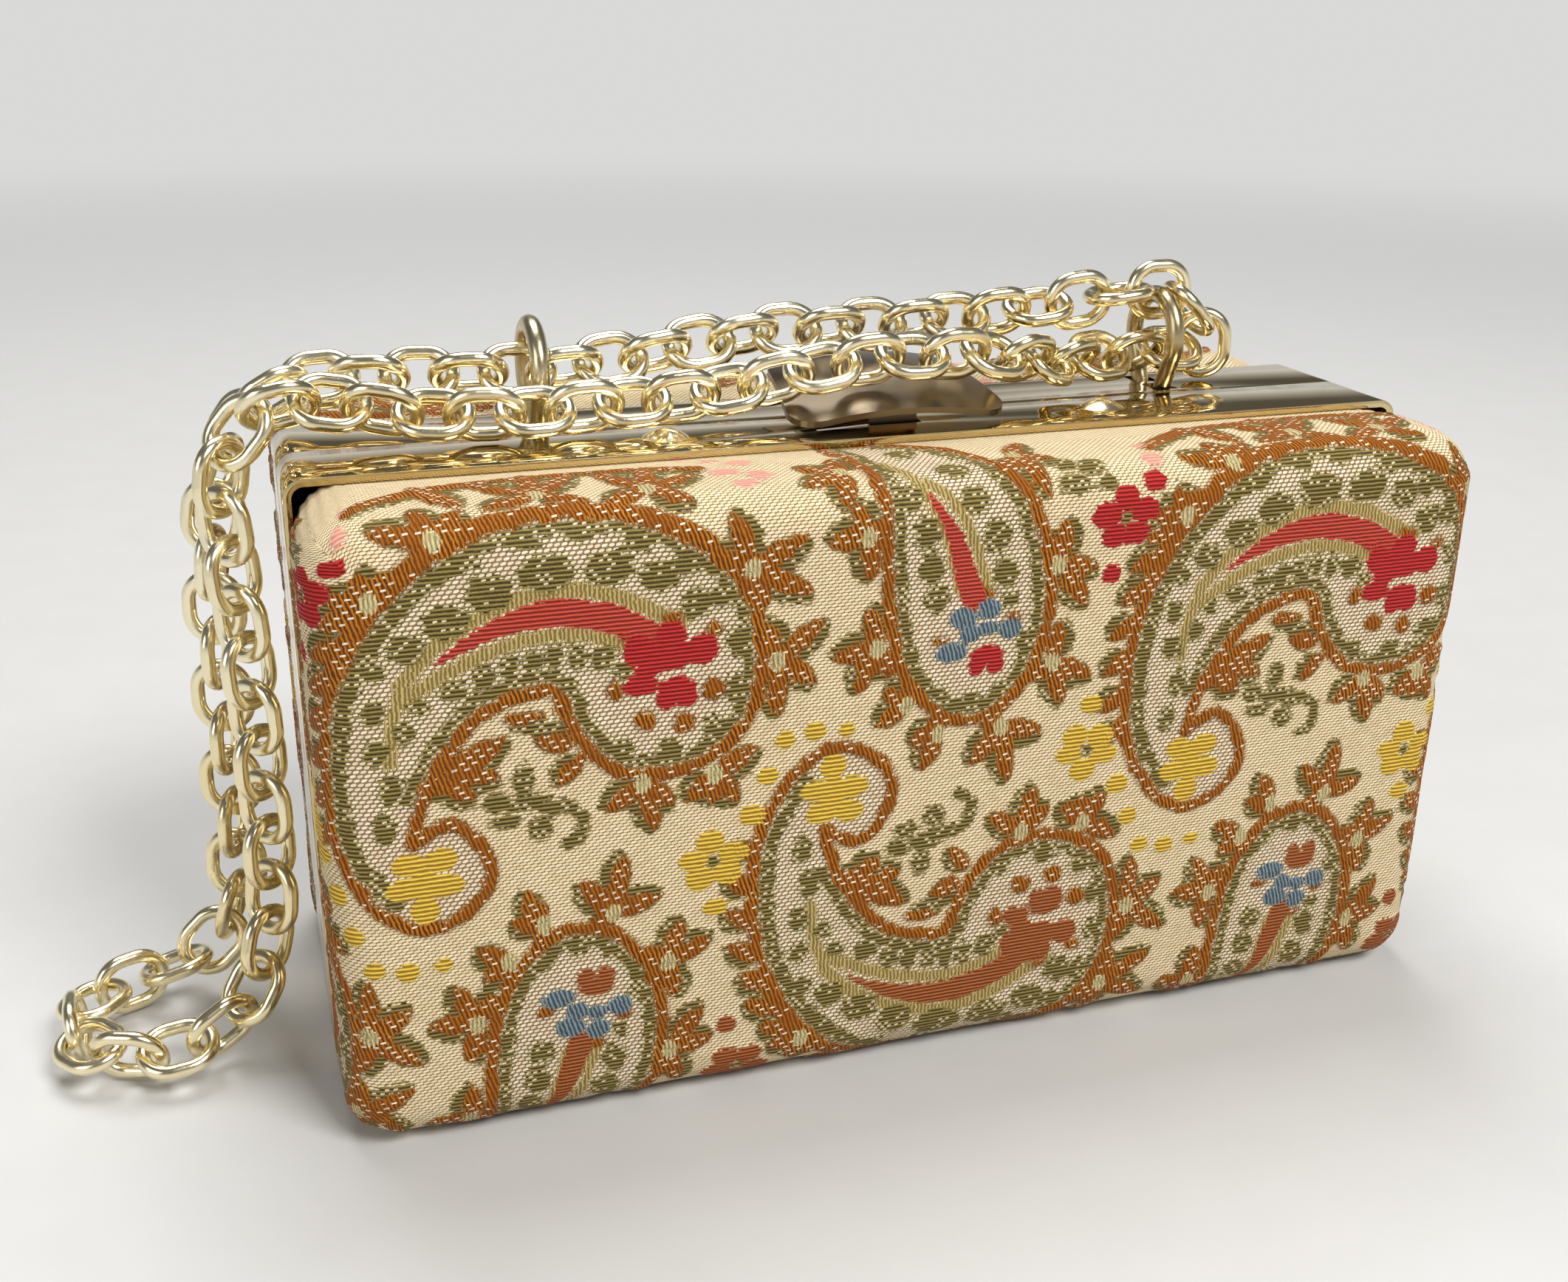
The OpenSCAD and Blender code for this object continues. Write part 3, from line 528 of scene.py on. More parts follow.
def stroke(q, line, half):
    """How deep points lie inside a stroke, negative outside. A line's third value is its own half width."""
    a, b = line[:-1], line[1:]
    along = b[:, :2] - a[:, :2]
    length = np.maximum((along ** 2).sum(1), 1e-9)
    best = np.full(len(q), -99.0)
    for i in range(len(a)):
        t = np.clip(((q - a[i, :2]) @ along[i]) / length[i], 0, 1)
        gap = np.linalg.norm(q - a[i, :2] - t[:, None] * along[i], axis=1)
        width = a[i, 2] + t * (b[i, 2] - a[i, 2]) if line.shape[1] == 3 else half
        best = np.maximum(best, width - gap)
    return best


def inside(q, line):
    """How deep points lie inside a closed outline, negative outside."""
    edge = -stroke(q, line, 0.0)
    odd = np.zeros(len(q), bool)
    for (ax, az), (bx, bz) in zip(line[:-1], line[1:]):
        spans = (az > q[:, 1]) != (bz > q[:, 1])
        if az != bz:
            odd ^= spans & (q[:, 0] < ax + (q[:, 1] - az) * (bx - ax) / (bz - az))
    return np.where(odd, edge, -edge)


def leaf(q, root, tip, width):
    root, tip = np.array(root, float), np.array(tip, float)
    length = np.linalg.norm(tip - root)
    way = (tip - root) / length
    a = (q - root) @ way / length
    b = np.abs((q - root) @ np.array((-way[1], way[0])))
    half = width / 2 * np.clip(np.sin(np.pi * np.clip(a, 0, 1) ** LEAF_LEAN), 0, 1) ** LEAF_BLUNT
    return np.minimum(half - b, np.minimum(a, 1 - a) * length)


def dot(q, x, z, rx, rz):
    r = np.sqrt(((q[:, 0] - x) / rx) ** 2 + ((q[:, 1] - z) / rz) ** 2)
    return (1 - r) * min(rx, rz)


class Cloth:
    """The woven figures at each point of a flat cloth: how deep the point lies in each thread's figures."""

    threads = (
        "body", "straw", "olive", "rust", "vein", "heart",
        "coral", "red", "terracotta", "yellow", "blue", "pink",
    )

    def __init__(self, points):
        self.points = points
        self.depth = {thread: np.full(len(points), FAR) for thread in self.threads}

    def put(self, thread, box, figure):
        """Adds a figure to a thread, looking only at points near the figure's box."""
        low, high = np.min(box, 0) - AROUND, np.max(box, 0) + AROUND
        near = np.all((self.q > low) & (self.q < high), axis=1)
        if near.any():
            at = self.some[near]
            self.depth[thread][at] = np.maximum(self.depth[thread][at], figure(self.q[near]))

    def line(self, thread, points, half=0.0, shift=0.0):
        """A line through points, moved to its left by shift. A point's third value is its own half width."""
        path = curve_through(points)
        if shift:
            way = np.gradient(path[:, :2], axis=0)
            way /= np.linalg.norm(way, axis=1)[:, None]
            path = path[:, :2] + shift * np.stack([-way[:, 1], way[:, 0]], 1)
        self.put(thread, path[:, :2], lambda near: stroke(near, path, half))

    def dots(self, thread, dots):
        for x, z, rx, rz in dots:
            self.put(thread, [(x, z)], lambda near: dot(near, x, z, rx, rz))

    def leaf(self, root, tip, width):
        """A rust leaf with a pale vein, and an olive one showing below it on its right."""
        box = [root, tip]
        way = np.subtract(tip, root) / np.linalg.norm(np.subtract(tip, root))
        under = np.array((way[1], -way[0])) * UNDERLEAF_ASIDE + way * UNDERLEAF_AHEAD
        self.put("rust", box, lambda near: leaf(near, root, tip, width))
        self.put("vein", box, lambda near: leaf(near, root, tip, width * VEIN_SHARE))
        self.put("olive", box, lambda near: leaf(near - under, root, tip, width + UNDERLEAF_WIDER))

    def stars(self, stars):
        for (x, z), tips in stars:
            for tip in tips:
                self.leaf((x, z), tip, STAR_LEAF)
            self.put("heart", [(x, z)], lambda near: dot(near, x, z, *STAR_HEART))

    def figures(self, some, q, red):
        """One repeat of the pattern, at points given in the upright row's own place."""
        self.some, self.q = some, q
        outline, drop = curve_through(PAISLEY), curve_through(DROP)
        self.put("body", outline, lambda near: inside(near, outline))
        self.put("body", drop, lambda near: inside(near, drop))
        for thread, points, half, shift in LINES:
            self.line(thread, points, half, shift)
        crescent = "coral" if red == "red" else red
        self.line(crescent, CRESCENT_RED)
        self.line(crescent, STEM_RED)
        self.stars(PAISLEY_STARS + DROP_STARS)
        for root, tip, width in SINGLE_LEAVES:
            self.leaf(root, tip, width)
        self.dots("olive", PAISLEY_OLIVE + DROP_OLIVE + YELLOW_HEART + SPRAY_HEART)
        self.dots("rust", RUST_DOTS + DROP_RUST_DOTS)
        self.dots(red, HEAD_PETALS + HEAD_HEART + DROP_HEART + SPRAY_PETALS + SPRAY_DOTS)
        self.dots("yellow", TAIL_PETALS + YELLOW_PETALS + YELLOW_DOTS)
        self.dots("blue", BLUE_PETALS)
        self.dots("pink", PINK_DOTS)

    def weave(self):
        """Upright rows, and rows turned over between them, on a cloth that lies a little askew."""
        everywhere = np.arange(len(self.points))
        for i in range(-2, 3):
            for j in range(-1, 2):
                rise = SKEW * i
                upright = self.points - (i * REPEAT_X, j * REPEAT_Z + rise)
                turned = self.points - ((i - 0.5) * REPEAT_X, GLIDE_Z + j * REPEAT_Z + rise)
                turned = turned * (1, -1)
                for q, red in ((upright, "red"), (turned, "terracotta")):
                    near = np.all((q > FIGURES_LOW) & (q < FIGURES_HIGH), axis=1)
                    if near.any():
                        self.figures(everywhere[near], q[near], red)


# Panels: a flat cloth folded over the padded form

def panel_profile(inset, lip):
    """The cloth's way from the flat face over the edge to the lip: outward reach and depth below the face."""
    r = edge_r - inset
    flat = panel_r - inset + swell_left - r
    turn = [(flat + r * math.sin(a), r - r * math.cos(a)) for a in np.linspace(0, math.pi / 2, 10)]
    side = [(panel_r - inset + side_swell, swell_depth - inset), (panel_r - inset, panel_d - inset),
            (panel_r - inset, face_d - inset - lip)]
    return np.array([(0.0, 0.0)] + turn + side)


def folded(u, v, profile, inset, crown):
    """Places of flat cloth points (u, v) on the form: along, up from the middle and out from the seam.

    Also how far each point is gathered into a corner's pleats, and its turn round that corner.
    """
    reach = np.r_[0, np.cumsum(np.linalg.norm(np.diff(profile, axis=0), axis=1))]
    core_u, core_v = panel_w / 2 - panel_r, panel_h / 2 - panel_r
    a, b = np.maximum(np.abs(u) - core_u, 0), np.maximum(np.abs(v) - core_v, 0)
    s = np.maximum(a, b)
    small = np.minimum(a, b) / np.maximum(s, 1e-9)
    turn = np.where(a >= b, small * math.pi / 4, math.pi / 2 - small * math.pi / 4)
    out = np.interp(s, reach, profile[:, 0])
    depth = np.interp(s, reach, profile[:, 1])
    x = np.clip(u, -core_u, core_u) + np.sign(u) * np.cos(turn) * out * (s > 0)
    z = np.clip(v, -core_v, core_v) + np.sign(v) * np.sin(turn) * out * (s > 0)
    bow_u = 1 - np.clip(u / (panel_w / 2), -1, 1) ** 4
    bow_v = 1 - np.clip(v / (panel_h / 2), -1, 1) ** 4
    swell = crown * bow_u * bow_v
    gathered = np.where(np.minimum(a, b) > 0, np.clip((s - gather_from) / gather_run, 0, 1), 0)
    return x, z, face_d - inset - depth + swell, gathered, turn


def cloth_sheet(name, inset, lip, pitch, crown):
    """A grid of cloth folded over the form, with its flat place kept as thread coordinates."""
    profile = panel_profile(inset, lip)
    drop = np.linalg.norm(np.diff(profile, axis=0), axis=1).sum()
    half_u, half_v = panel_w / 2 - panel_r + drop, panel_h / 2 - panel_r + drop
    deselect()
    bpy.ops.mesh.primitive_grid_add(
        x_subdivisions=round(2 * half_u / pitch), y_subdivisions=round(2 * half_v / pitch), size=2
    )
    sheet = bpy.context.object
    sheet.name = name
    flat = coordinates(sheet)
    u, v = flat[:, 0] * half_u, flat[:, 1] * half_v
    x, z, out, gathered, turn = folded(u, v, profile, inset, crown)
    pleat = pleat_d * gathered * np.cos(turn * pleats)
    core_x, core_z = panel_w / 2 - panel_r, panel_h / 2 - panel_r
    away_x, away_z = x - np.clip(x, -core_x, core_x), z - np.clip(z, -core_z, core_z)
    length = np.maximum(np.hypot(away_x, away_z), 1e-9)
    x, z = x + pleat * away_x / length, z + pleat * away_z / length
    place_vertices(sheet, np.stack([x, -out, z + middle_z], 1) * MM)
    keep_on_points(sheet, "along", u)
    keep_on_points(sheet, "across", v + middle_z)
    smooth(sheet, 180)
    return sheet, u, v + middle_z


def turn_round(piece):
    """Turns a piece made for the front half to the rear half."""
    piece.matrix_world = Matrix.Rotation(math.pi, 4, "Z")
    settle(piece)


def hem(piece, thickness):
    """Turns the cloth's open edge in by a thickness, or out where that is negative."""
    edge = max(v.co.y for v in piece.data.vertices)
    pick(piece, "EDGE", lambda a, b: min(a.y, b.y) > edge - 0.02 * MM)
    bpy.ops.mesh.extrude_edges_move()
    narrower = 1 - 2 * thickness / panel_w
    lower = 1 - 2 * thickness / panel_h
    centre = (0, edge, middle_z * MM)
    bpy.ops.transform.resize(value=(narrower, 1, lower), center_override=centre)
    leave_edit()


# How high each thread stands above the cloth, in millimetres, and how it rises at a figure's rim
REST_GAP = 0.05
RISE_RUN = 1.1
RISE_LEAD = 0.4
BAND_CLEAR = 1.0
BAND_FADE = 2.0
RELIEF = {
    "olive": 0.2, "straw": 0.12, "rust": 0.45, "heart": 0.2, "coral": 0.2, "red": 0.28, "terracotta": 0.28,
    "yellow": 0.3, "blue": 0.4, "pink": 0.18,
}


def brocade_cover(name, body, material):
    """One half's woven cover, raised where threads float and flat where the band holds it."""
    cover, u, v = cloth_sheet(name, 0.0, cover_lip, cover_pitch, cover_crown)
    cloth = Cloth(np.stack([u, v], 1))
    cloth.weave()
    lift = np.zeros(len(u))
    for thread, depth in cloth.depth.items():
        keep_on_points(cover, thread, np.clip(depth, FAR, DEEP))
        if thread in RELIEF:
            rise = np.clip(depth / RISE_RUN + RISE_LEAD, 0, 1)
            lift = np.maximum(lift, RELIEF[thread] * rise * rise * (3 - 2 * rise))
    normals = np.zeros(len(u) * 3)
    cover.data.vertices.foreach_get("normal", normals)
    co = coordinates(cover)
    lift *= np.clip((-co[:, 1] / MM - band_d - BAND_CLEAR) / BAND_FADE, 0, 1)
    co += normals.reshape(-1, 3) * lift[:, None] * MM
    co[:, 2] = np.maximum(co[:, 2], REST_GAP * MM)
    place_vertices(cover, co)
    hem(cover, cover_t)
    if body == "rear_half":
        turn_round(cover)
    dress(cover, material)
    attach(cover, body)
    side = body.split("_")[0]
    prints = [f"{side}_print_{t}" for t in ("rust", "olive", "straw", "red", "terracotta", "yellow", "blue")]
    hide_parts(f"{side}_cover", *prints)


# Stitches of the brocade: row height, stitch length and shift from row to row, in millimetres and stitches
GROUND = (0.5, 1.0, 0.5)
KNIT = (0.64, 0.98, 0.5)
SPECK = (0.64, 1.2, 0.43)
FLECK = (0.86, 1.7, 0.37)

# Slant of a stitch, width of a frayed column and the step in the noise from row to row
SLANT = 0.3
COLUMN = 0.44
SCATTER = 7.3

# Pitch of the floating threads, in millimetres
STRAW_PITCH = 0.62
OLIVE_PITCH = 0.64
RUST_PITCH = 0.66
CLOSE_PITCH = 0.62
GAPPY_PITCH = 0.7

# Colours of the threads, each from dark to light. The darkest of each is painted shade in the gaps between
# stitches and floats. In the floats the lightest is painted light on their crests and a middle tone varies at
# random; in the ground and the knitted body the two lighter tones vary at random
CREAM = (srgb(152, 122, 82), srgb(218, 196, 154), srgb(240, 223, 186))
BODY = (srgb(146, 115, 84), srgb(222, 203, 170), srgb(238, 225, 196))
STRAW = (srgb(122, 98, 48), srgb(196, 174, 112))
OLIVE = (srgb(50, 39, 14), srgb(98, 84, 42), srgb(154, 136, 75))
RUST = (srgb(70, 34, 5), srgb(136, 74, 18), srgb(196, 120, 34))
HEART = (srgb(156, 138, 88), srgb(212, 198, 150))
SPECK_PALE = srgb(226, 210, 176)
FLECK_PALE = srgb(236, 224, 198)
RUST_SHADOW = srgb(112, 84, 50)
CORAL = (srgb(124, 34, 28), srgb(212, 84, 64))
RED = (srgb(118, 20, 22), srgb(208, 54, 50))
TERRACOTTA = (srgb(108, 54, 22), srgb(180, 104, 54))
YELLOW = (srgb(150, 108, 28), srgb(240, 206, 82))
BLUE = (srgb(58, 72, 80), srgb(134, 150, 156))
PINK = (srgb(212, 138, 116), srgb(234, 178, 158))


def brocade():
    """The woven cloth: a cream ground, a knitted body in the figures, and each colour's floats over them."""
    s = Shade("brocade")
    u, v = s.attribute("along"), s.attribute("across")

    def wave(value, period):
        return s.maths("COSINE", value * (2 * math.pi / period)) * 0.5 + 0.5

    def stitches(period, length, shift):
        """Stitches laid like bricks: the way to the middle, along and across, and a number per stitch."""
        row = s.maths("FLOOR", v / period)
        cell = u / length + row * shift
        along = s.maths("FRACT", cell) - 0.5
        long = s.maths("ABSOLUTE", along)
        high = s.maths("ABSOLUTE", s.maths("FRACT", v / period) - 0.5 - along * SLANT)
        own = s.node("ShaderNodeTexWhiteNoise", {"noise_dimensions": "2D"},
                     {"Vector": s.vector(s.maths("FLOOR", cell), row)})
        return long, high, own

    def grain(long, high, half_long, half_high):
        """A stitch with rounded ends: 1 at its middle, 0 at its rim."""
        far = s.maths("POWER", long / half_long, 3.0) + s.maths("POWER", high / half_high, 2.0)
        return s.soft_step(far, 1.0, 0.45)

    row_noise = s.noise(s.vector(u * 0.9, s.maths("FLOOR", v / GROUND[0]) * SCATTER), 1.0, 1.0) - 0.5
    column_noise = s.noise(s.vector(s.maths("FLOOR", u / COLUMN) * SCATTER, v * 0.9), 1.0, 1.0) - 0.5
    fine = s.noise(s.vector(u * 3.0, v * 3.0), 1.0, 2.0)
    patch = s.noise(s.vector(u * 0.12, v * 0.12), 1.0, 2.0)
    lump = s.noise(s.vector(u * 0.42, v * 0.42), 1.0, 1.0) - 0.5

    def mask(thread, fray, extra=0.0, blur=0.14):
        """Where a thread shows: inside its figures, with a frayed rim."""
        return s.soft_step(s.attribute(thread) + fray + extra, -blur, blur)

    # Ground and knitted body
    long, high, own = stitches(*GROUND)
    ground_thread = grain(long, high, 0.56, 0.5)
    cream = s.mix(own * 0.6 + patch * 0.3, CREAM[2], CREAM[1])
    # Painted shade: the ground darkens to its darkest tone at each stitch's rim
    cream = s.mix(ground_thread, CREAM[0], cream)
    knit_long, knit_high, knit_own = stitches(*KNIT)
    dash = grain(knit_long, knit_high, 0.5, 0.44)
    # Painted shade: the knitted body darkens to its darkest tone at each stitch's rim
    knit = s.mix(dash, BODY[0], s.mix(knit_own, BODY[2], BODY[1]))
    knit_in = mask("body", row_noise * 1.0, 0.3)
    colour = s.mix(knit_in, cream, knit)

    # Straw bands
    stitch = wave(u + row_noise * 0.6, STRAW_PITCH)
    # Painted shade and light: each straw float runs from a shaded gap to a lit crest
    straw = s.mix(stitch, *STRAW)
    straw_in = mask("straw", column_noise * 1.6, (stitch - 0.5) * 0.7)
    colour = s.mix(straw_in, colour, straw)

    # Olive, with specks of the ground between its floats
    line = wave(v + row_noise * 0.15, OLIVE_PITCH)
    # Painted shade and light: each olive float runs from a shaded gap to a lit crest
    olive = s.mix(line, OLIVE[0], OLIVE[2])
    olive = s.mix(s.soft_step(fine, 0.45, 0.75) * 0.5, olive, OLIVE[1])
    olive_in = mask("olive", row_noise * 1.9, (line - 0.5) * 0.5)
    over_olive = dash * knit_in * s.soft_step(s.attribute("olive"), 0.8, 0.2) * (knit_own > 0.55)
    olive_in = olive_in * (1 - over_olive)
    speck_long, speck_high, speck_own = stitches(*SPECK)
    speck = s.soft_step(speck_long, 0.3, 0.2) * s.soft_step(speck_high, 0.3, 0.16) * (speck_own > 0.68)
    olive = s.mix(speck * s.soft_step(s.attribute("olive"), 0.1, 0.5), olive, SPECK_PALE)
    colour = s.mix(olive_in, colour, olive)

    # Rust, with pale flecks, a shadow beside it and the stars' hearts
    fleck_long, fleck_high, fleck_own = stitches(*FLECK)
    fleck = s.soft_step(fleck_long, 0.26, 0.2) * s.soft_step(fleck_high, 0.22, 0.14)
    wanted = 0.66 - 0.4 * s.soft_step(s.attribute("vein"), -0.3, 0.3)
    fleck = fleck * (fleck_own > wanted)
    floats = wave(u + v * 0.3 + column_noise * 0.5, RUST_PITCH)
    # Painted shade and light: each rust float runs from a shaded gap to a lit crest
    rust = s.mix(floats, RUST[0], RUST[2])
    rust = s.mix(s.soft_step(patch + fine * 0.4, 0.5, 0.85) * 0.6, rust, RUST[1])
    beside = s.soft_step(s.attribute("rust"), -0.7, 0.0)
    colour = s.mix(beside * 0.4, colour, RUST_SHADOW)
    rust_in = mask("rust", column_noise * 1.5 + lump * 1.4, (floats - 0.5) * 0.35)
    fleck = fleck * s.soft_step(s.attribute("rust"), 0.05, 0.4)
    rust = s.mix(fleck, rust, FLECK_PALE)
    colour = s.mix(rust_in, colour, rust)
    heart_in = mask("heart", column_noise * 0.8, (stitch - 0.5) * 0.3)
    # Painted shade and light: the hearts' stitches run from a shaded gap to a lit crest
    colour = s.mix(heart_in, colour, s.mix(stitch, *HEART))

    # Small figures: thread, how its floats lie, the gaps between them, its frayed rim and its colours
    close = wave(v + row_noise * 0.15, CLOSE_PITCH)
    gappy = wave(v + row_noise * 0.2, GAPPY_PITCH)
    tones = (
        ("coral", close, 0.2, 1.2, CORAL),
        ("red", close, 0.2, 1.2, RED),
        ("terracotta", close, 0.3, 1.2, TERRACOTTA),
        ("yellow", gappy, 0.25, 0.6, YELLOW),
        ("blue", floats, 0.3, 1.0, BLUE),
        ("pink", gappy, 0.9, 1.4, PINK),
    )
    raised = rust_in * (0.6 + floats * 0.4) * (1 - fleck * 0.5)
    for thread, lay, gap, fray, tone in tones:
        inside_it = mask(thread, row_noise * fray, (lay - 0.5) * gap)
        # Painted shade and light: each figure's floats run from a shaded gap to a lit crest
        colour = s.mix(inside_it, colour, s.mix(lay, *tone))
        raised = s.maths("MAXIMUM", raised, inside_it * (0.4 + lay * 0.5))

    # Height and gloss of the threads
    raised = s.maths("MAXIMUM", raised, olive_in * (0.25 + line * 0.45))
    raised = s.maths("MAXIMUM", raised, straw_in * (0.3 + stitch * 0.4))
    weave = ground_thread * 0.3 * (1 - knit_in) + dash * 0.4 * knit_in
    height = s.maths("MAXIMUM", raised, weave) + fine * 0.12
    relief = s.bump(height, 0.00045, 1.0)
    rough = 0.66 - 0.2 * raised + 0.1 * fine
    return s.surface(base_color=colour, roughness=rough, normal=relief, specular_ior_level=0.12)


def satin_lining():
    s = Shade("satin_lining")
    u, v = s.attribute("along"), s.attribute("across")
    slub = s.noise(s.vector(u * 0.25, v * 4.0), 1.0, 3.0)
    twill = s.maths("COSINE", (u + v * 2.0) * 9.0)
    tone = s.mix(s.soft_step(slub, 0.3, 0.75), srgb(196, 160, 98), srgb(222, 190, 132))
    relief = s.bump(twill * 0.25 + slub, 0.00006, 0.6)
    return s.surface(base_color=tone, roughness=0.3 + 0.15 * slub, normal=relief, sheen_weight=0.25)


def card_board():
    s = Shade("card_board")
    at = s.place()
    fibre = s.noise(s.stretched(at, (900.0, 900.0, 3000.0)), 1.0, 3.0)
    tone = s.mix(fibre, srgb(118, 104, 86), srgb(150, 136, 114))
    return s.surface(base_color=tone, roughness=0.85, normal=s.bump(fibre, 0.0001, 0.5))


def lining_tray(name, body, material):
    """One half's lining: a satin sheet stretched over its board, with faint ripples on its face."""
    tray, u, v = cloth_sheet(name, lining_inset, lining_lip, lining_pitch, 0.0)
    tray_cut = (np.ptp(u) * MM, np.ptp(v) * MM)
    co = coordinates(tray)
    waves = np.sin(u * 0.21 + 1.3 * np.sin(v * 0.13)) * np.sin(v * 0.17 + 0.8 * np.sin(u * 0.09))
    co[:, 1] += lining_ripple * waves * MM * (co[:, 1] < -lining_face * MM)
    place_vertices(tray, co)
    hem(tray, -lining_hem)
    pick_all(tray)
    bpy.ops.mesh.flip_normals()
    leave_edit()
    if body == "rear_half":
        turn_round(tray)
    dress(tray, material)
    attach(tray, body)
    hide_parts(f"{body.split('_')[0]}_lining")


# Metal bands with rounded corners, slots and softened edges

def metal_band(name):
    """A band of sheet for the front half, with its notch for the hinge."""
    depth = band_d - seam_gap / 2
    middle_y = -(band_d + seam_gap / 2) / 2
    band = add_block(name, (frame_w, depth, frame_h), (0, middle_y, middle_z))
    bevel_edges(band, lambda a, b: abs(a.y - b.y) > 5 * MM, frame_r, 10)
    pick(band, "FACE", lambda face: abs(face.normal.y) > 0.9)
    bpy.ops.mesh.delete(type="FACE")
    leave_edit()
    finish_with(band, "SOLIDIFY", thickness=sheet_t * MM, offset=-1, use_even_offset=True)
    notch = add_block("notch", (2 * frame_w, 2 * notch_d, 2 * hinge_z), (0, 0, 0))
    cut_away(band, notch)
    return band


def rear_slots():
    """Cutters for the two slots of each ring, at the ring's own place along the band."""
    for node in ("ring_left", "ring_right"):
        low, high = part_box(node)
        x = (low.x + high.x) / 2 / MM
        for edge in (-1, 1):
            place = (x, ring_y + edge * ring_slot_out, frame_h)
            yield add_block("slot", (ring_slot_w, ring_slot_l, slot_cut), place)


def soften(band):
    sharp = math.radians(50)
    finish_with(band, "BEVEL", width=frame_soft * MM, segments=2, limit_method="ANGLE", angle_limit=sharp)
    smooth(band, 35)


def front_band():
    band = metal_band("front_band")
    size = (hook_slot_w, hook_slot_l, slot_cut)
    cut_away(band, add_block("hook_slot", size, (fittings_x, hook_slot_y, frame_h)))
    soften(band)
    dress(band, band_gold)
    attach(band, "front_half")
    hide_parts("front_frame")


def rear_band():
    band = metal_band("rear_band")
    band.scale.y = -1
    settle(band)
    pick_all(band)
    bpy.ops.mesh.normals_make_consistent(inside=False)
    leave_edit()
    for slot in list(rear_slots()):
        cut_away(band, slot)
    soften(band)
    dress(band, band_gold)
    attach(band, "rear_half")
    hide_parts("rear_frame")


front_band()
rear_band()
brocade_cloth = brocade()
brocade_cover("front_brocade", "front_half", brocade_cloth)
brocade_cover("rear_brocade", "rear_half", brocade_cloth)
lining_cloth = satin_lining()
lining_tray("front_tray_lining", "front_half", lining_cloth)
lining_tray("rear_tray_lining", "rear_half", lining_cloth)

board_card = card_board()
for node, material in (
    ("front_board", board_card), ("rear_board", board_card),
    ("hinge_leaf_front", band_gold), ("hinge_leaf_rear", band_gold), ("hinge_pin", satin_gold),
    ("clasp_lever", clasp_gold), ("clasp_hook", clasp_gold), ("clasp_base", clasp_gold),
    ("clasp_pin", satin_gold), ("catch_plate", clasp_gold), ("catch_rivets", chain_gold),
    ("ring_left", satin_gold), ("ring_right", satin_gold),
    ("chain_ring_loop", chain_gold), ("chain_front_run", chain_gold), ("chain_left_drop", chain_gold),
    ("chain_table_pile", chain_gold), ("chain_left_rise", chain_gold), ("chain_back_run", chain_gold),
):
    dress(nodes[node], material)


# Stage: pale floor, soft light and the camera

PALE = (0.70, 0.70, 0.69, 1)
CEILING = (0.13, 0.13, 0.13, 1)
FLOOR_DARK = (0.57, 0.565, 0.55, 1)
FLOOR_LIGHT = (0.61, 0.605, 0.59, 1)
LAMP_AIM = (0, 0, 0.05)
SENSOR = 36
FOCAL_PIXELS = 2314
PHOTO_PIXELS = 2123


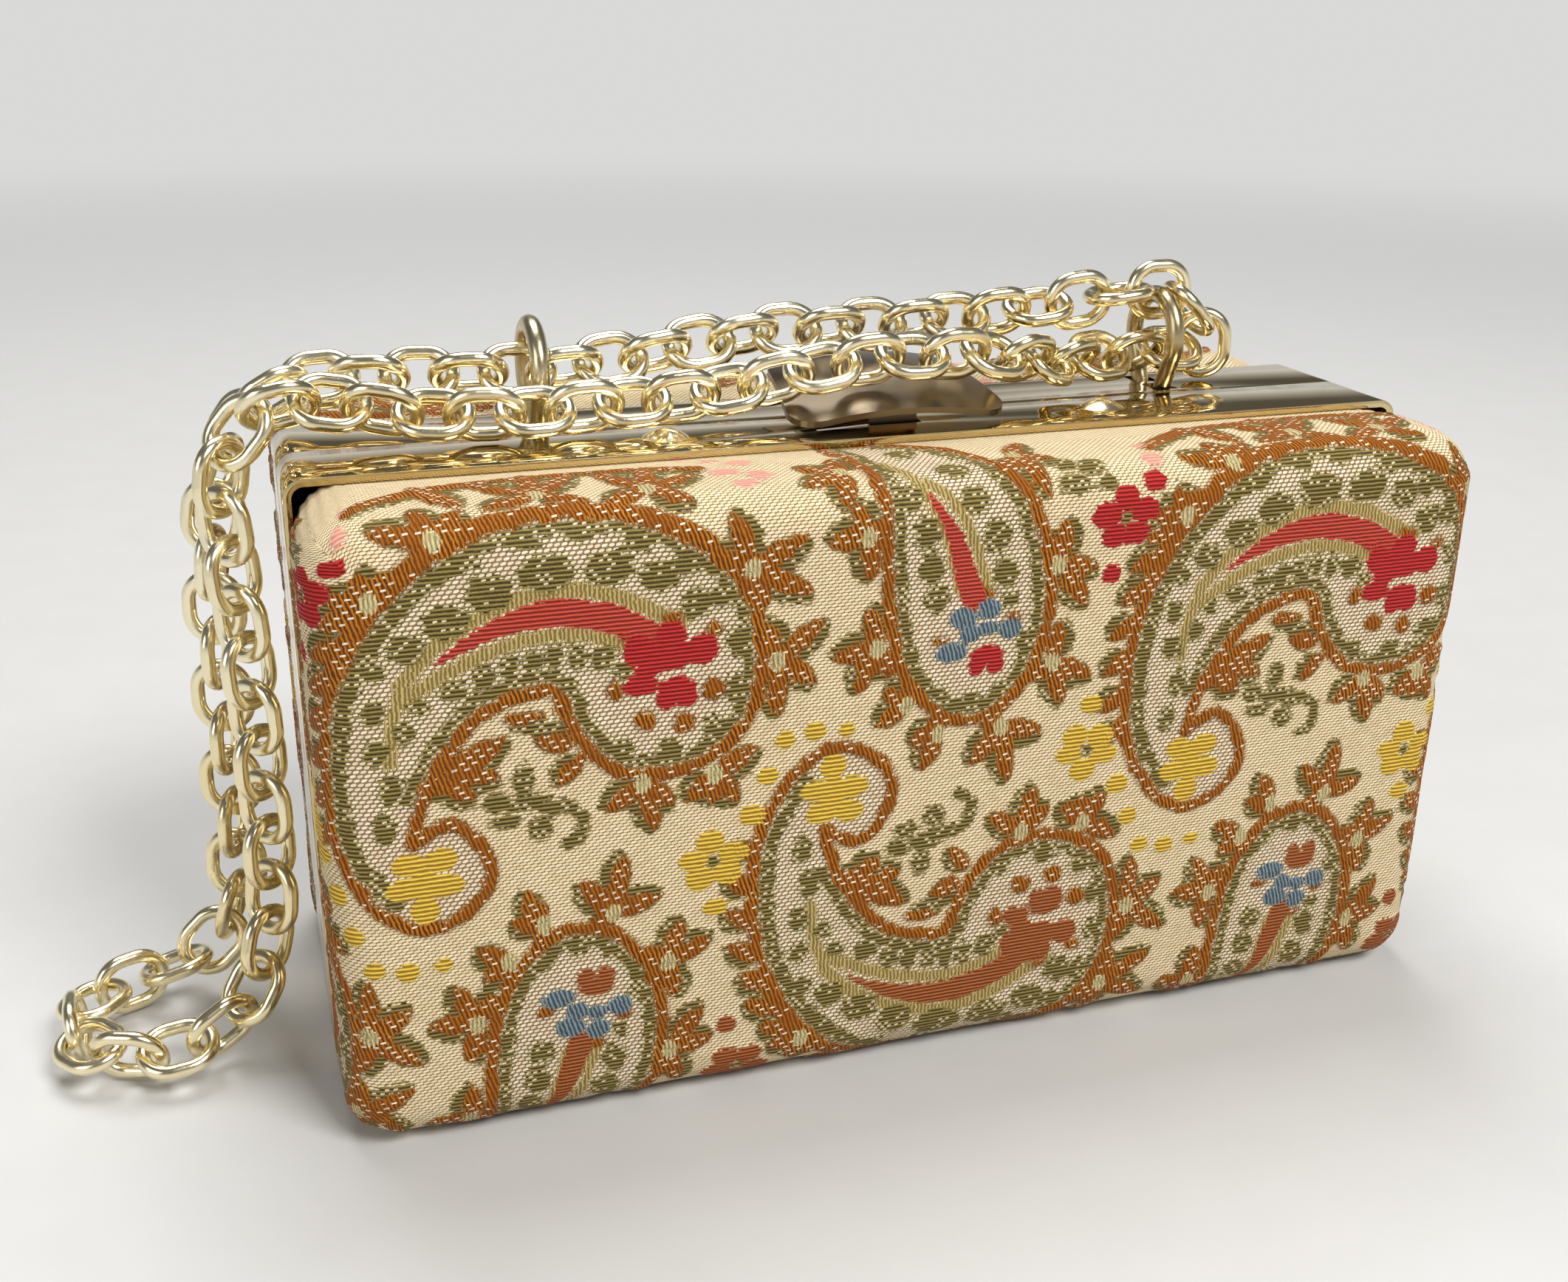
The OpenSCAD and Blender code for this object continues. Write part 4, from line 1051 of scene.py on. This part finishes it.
def pale_floor():
    """A round floor that fades into the backdrop."""
    deselect()
    bpy.ops.mesh.primitive_circle_add(vertices=96, radius=6, fill_type="NGON")
    floor = bpy.context.object
    floor.name = "floor"
    s = Shade("floor_paint")
    at = s.place()
    far = s.node("ShaderNodeVectorMath", {"operation": "LENGTH"}, {0: at}, 1)
    tone = s.mix(s.noise(at, 60.0, 3.0), FLOOR_DARK, FLOOR_LIGHT)
    paint = s.node("ShaderNodeBsdfPrincipled", {}, {"Base Color": tone, "Roughness": 0.6})
    glow = s.node("ShaderNodeEmission", {}, {"Color": PALE, "Strength": 1.0})
    both = s.node("ShaderNodeMixShader", {}, {0: s.soft_step(far, 0.35, 1.6), 1: paint, 2: glow})
    s.node("ShaderNodeOutputMaterial", {}, {0: both})
    dress(floor, s.material)
    floor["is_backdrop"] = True


def backdrop():
    """A pale world that darkens overhead, so that metal has something to reflect."""
    world = bpy.data.worlds.new("studio")
    bpy.context.scene.world = world
    world.use_nodes = True
    tree = world.node_tree
    sky = tree.nodes.new("ShaderNodeTexCoord")
    split = tree.nodes.new("ShaderNodeSeparateXYZ")
    tree.links.new(sky.outputs["Generated"], split.inputs[0])
    fade = tree.nodes.new("ShaderNodeMapRange")
    fade.inputs[1].default_value = 0.05
    fade.inputs[2].default_value = 0.34
    tree.links.new(split.outputs[2], fade.inputs[0])
    tone = tree.nodes.new("ShaderNodeMix")
    tone.data_type = "RGBA"
    tone.inputs[6].default_value = PALE
    tone.inputs[7].default_value = CEILING
    tree.links.new(fade.outputs[0], tone.inputs[0])
    tree.links.new(tone.outputs[2], tree.nodes["Background"].inputs["Color"])
    bpy.context.scene.view_settings.view_transform = "Standard"


def lamps():
    """A soft key light, a fill and a top light."""
    for name, place, size, power in (
        ("key", (0.45, -0.95, 1.25), 0.6, 22.0),
        ("fill", (-1.3, -0.8, 0.8), 0.9, 6.0),
        ("top", (0.0, 0.55, 1.4), 0.8, 17.0),
    ):
        lamp = bpy.data.lights.new(name, "AREA")
        lamp.energy = power
        lamp.size = size
        holder = bpy.data.objects.new(name, lamp)
        bpy.context.scene.collection.objects.link(holder)
        holder.location = place
        holder.rotation_euler = (Vector(LAMP_AIM) - Vector(place)).to_track_quat("-Z", "Y").to_euler()


def camera():
    """The view of the photo, from a camera fitted to it."""
    turn, height, roll = math.radians(-18.74), math.radians(20.929), math.radians(0.666)
    distance = 288.26
    target = Vector((-12.692, 0, 57.672))
    back = Vector((math.sin(turn) * math.cos(height), -math.cos(turn) * math.cos(height), math.sin(height)))
    right = (-back).cross(Vector((0, 0, 1))).normalized()
    up = right.cross(-back)
    across = right * math.cos(roll) + up * math.sin(roll)
    upward = up * math.cos(roll) - right * math.sin(roll)
    place = (target + back * distance) * MM
    lens = bpy.data.cameras.new("camera")
    lens.sensor_width = SENSOR
    lens.lens = SENSOR * FOCAL_PIXELS / PHOTO_PIXELS
    lens.clip_start = 0.01
    eye = bpy.data.objects.new("camera", lens)
    bpy.context.scene.collection.objects.link(eye)
    eye.matrix_world = Matrix((across, upward, back)).transposed().to_4x4()
    eye.location = place
    bpy.context.scene.camera = eye


pale_floor()
backdrop()
lamps()
camera()

boxes = {"cad": cad_box, "visual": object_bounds()}
{name: [list(map(float, corner)) for corner in box] for name, box in boxes.items()}
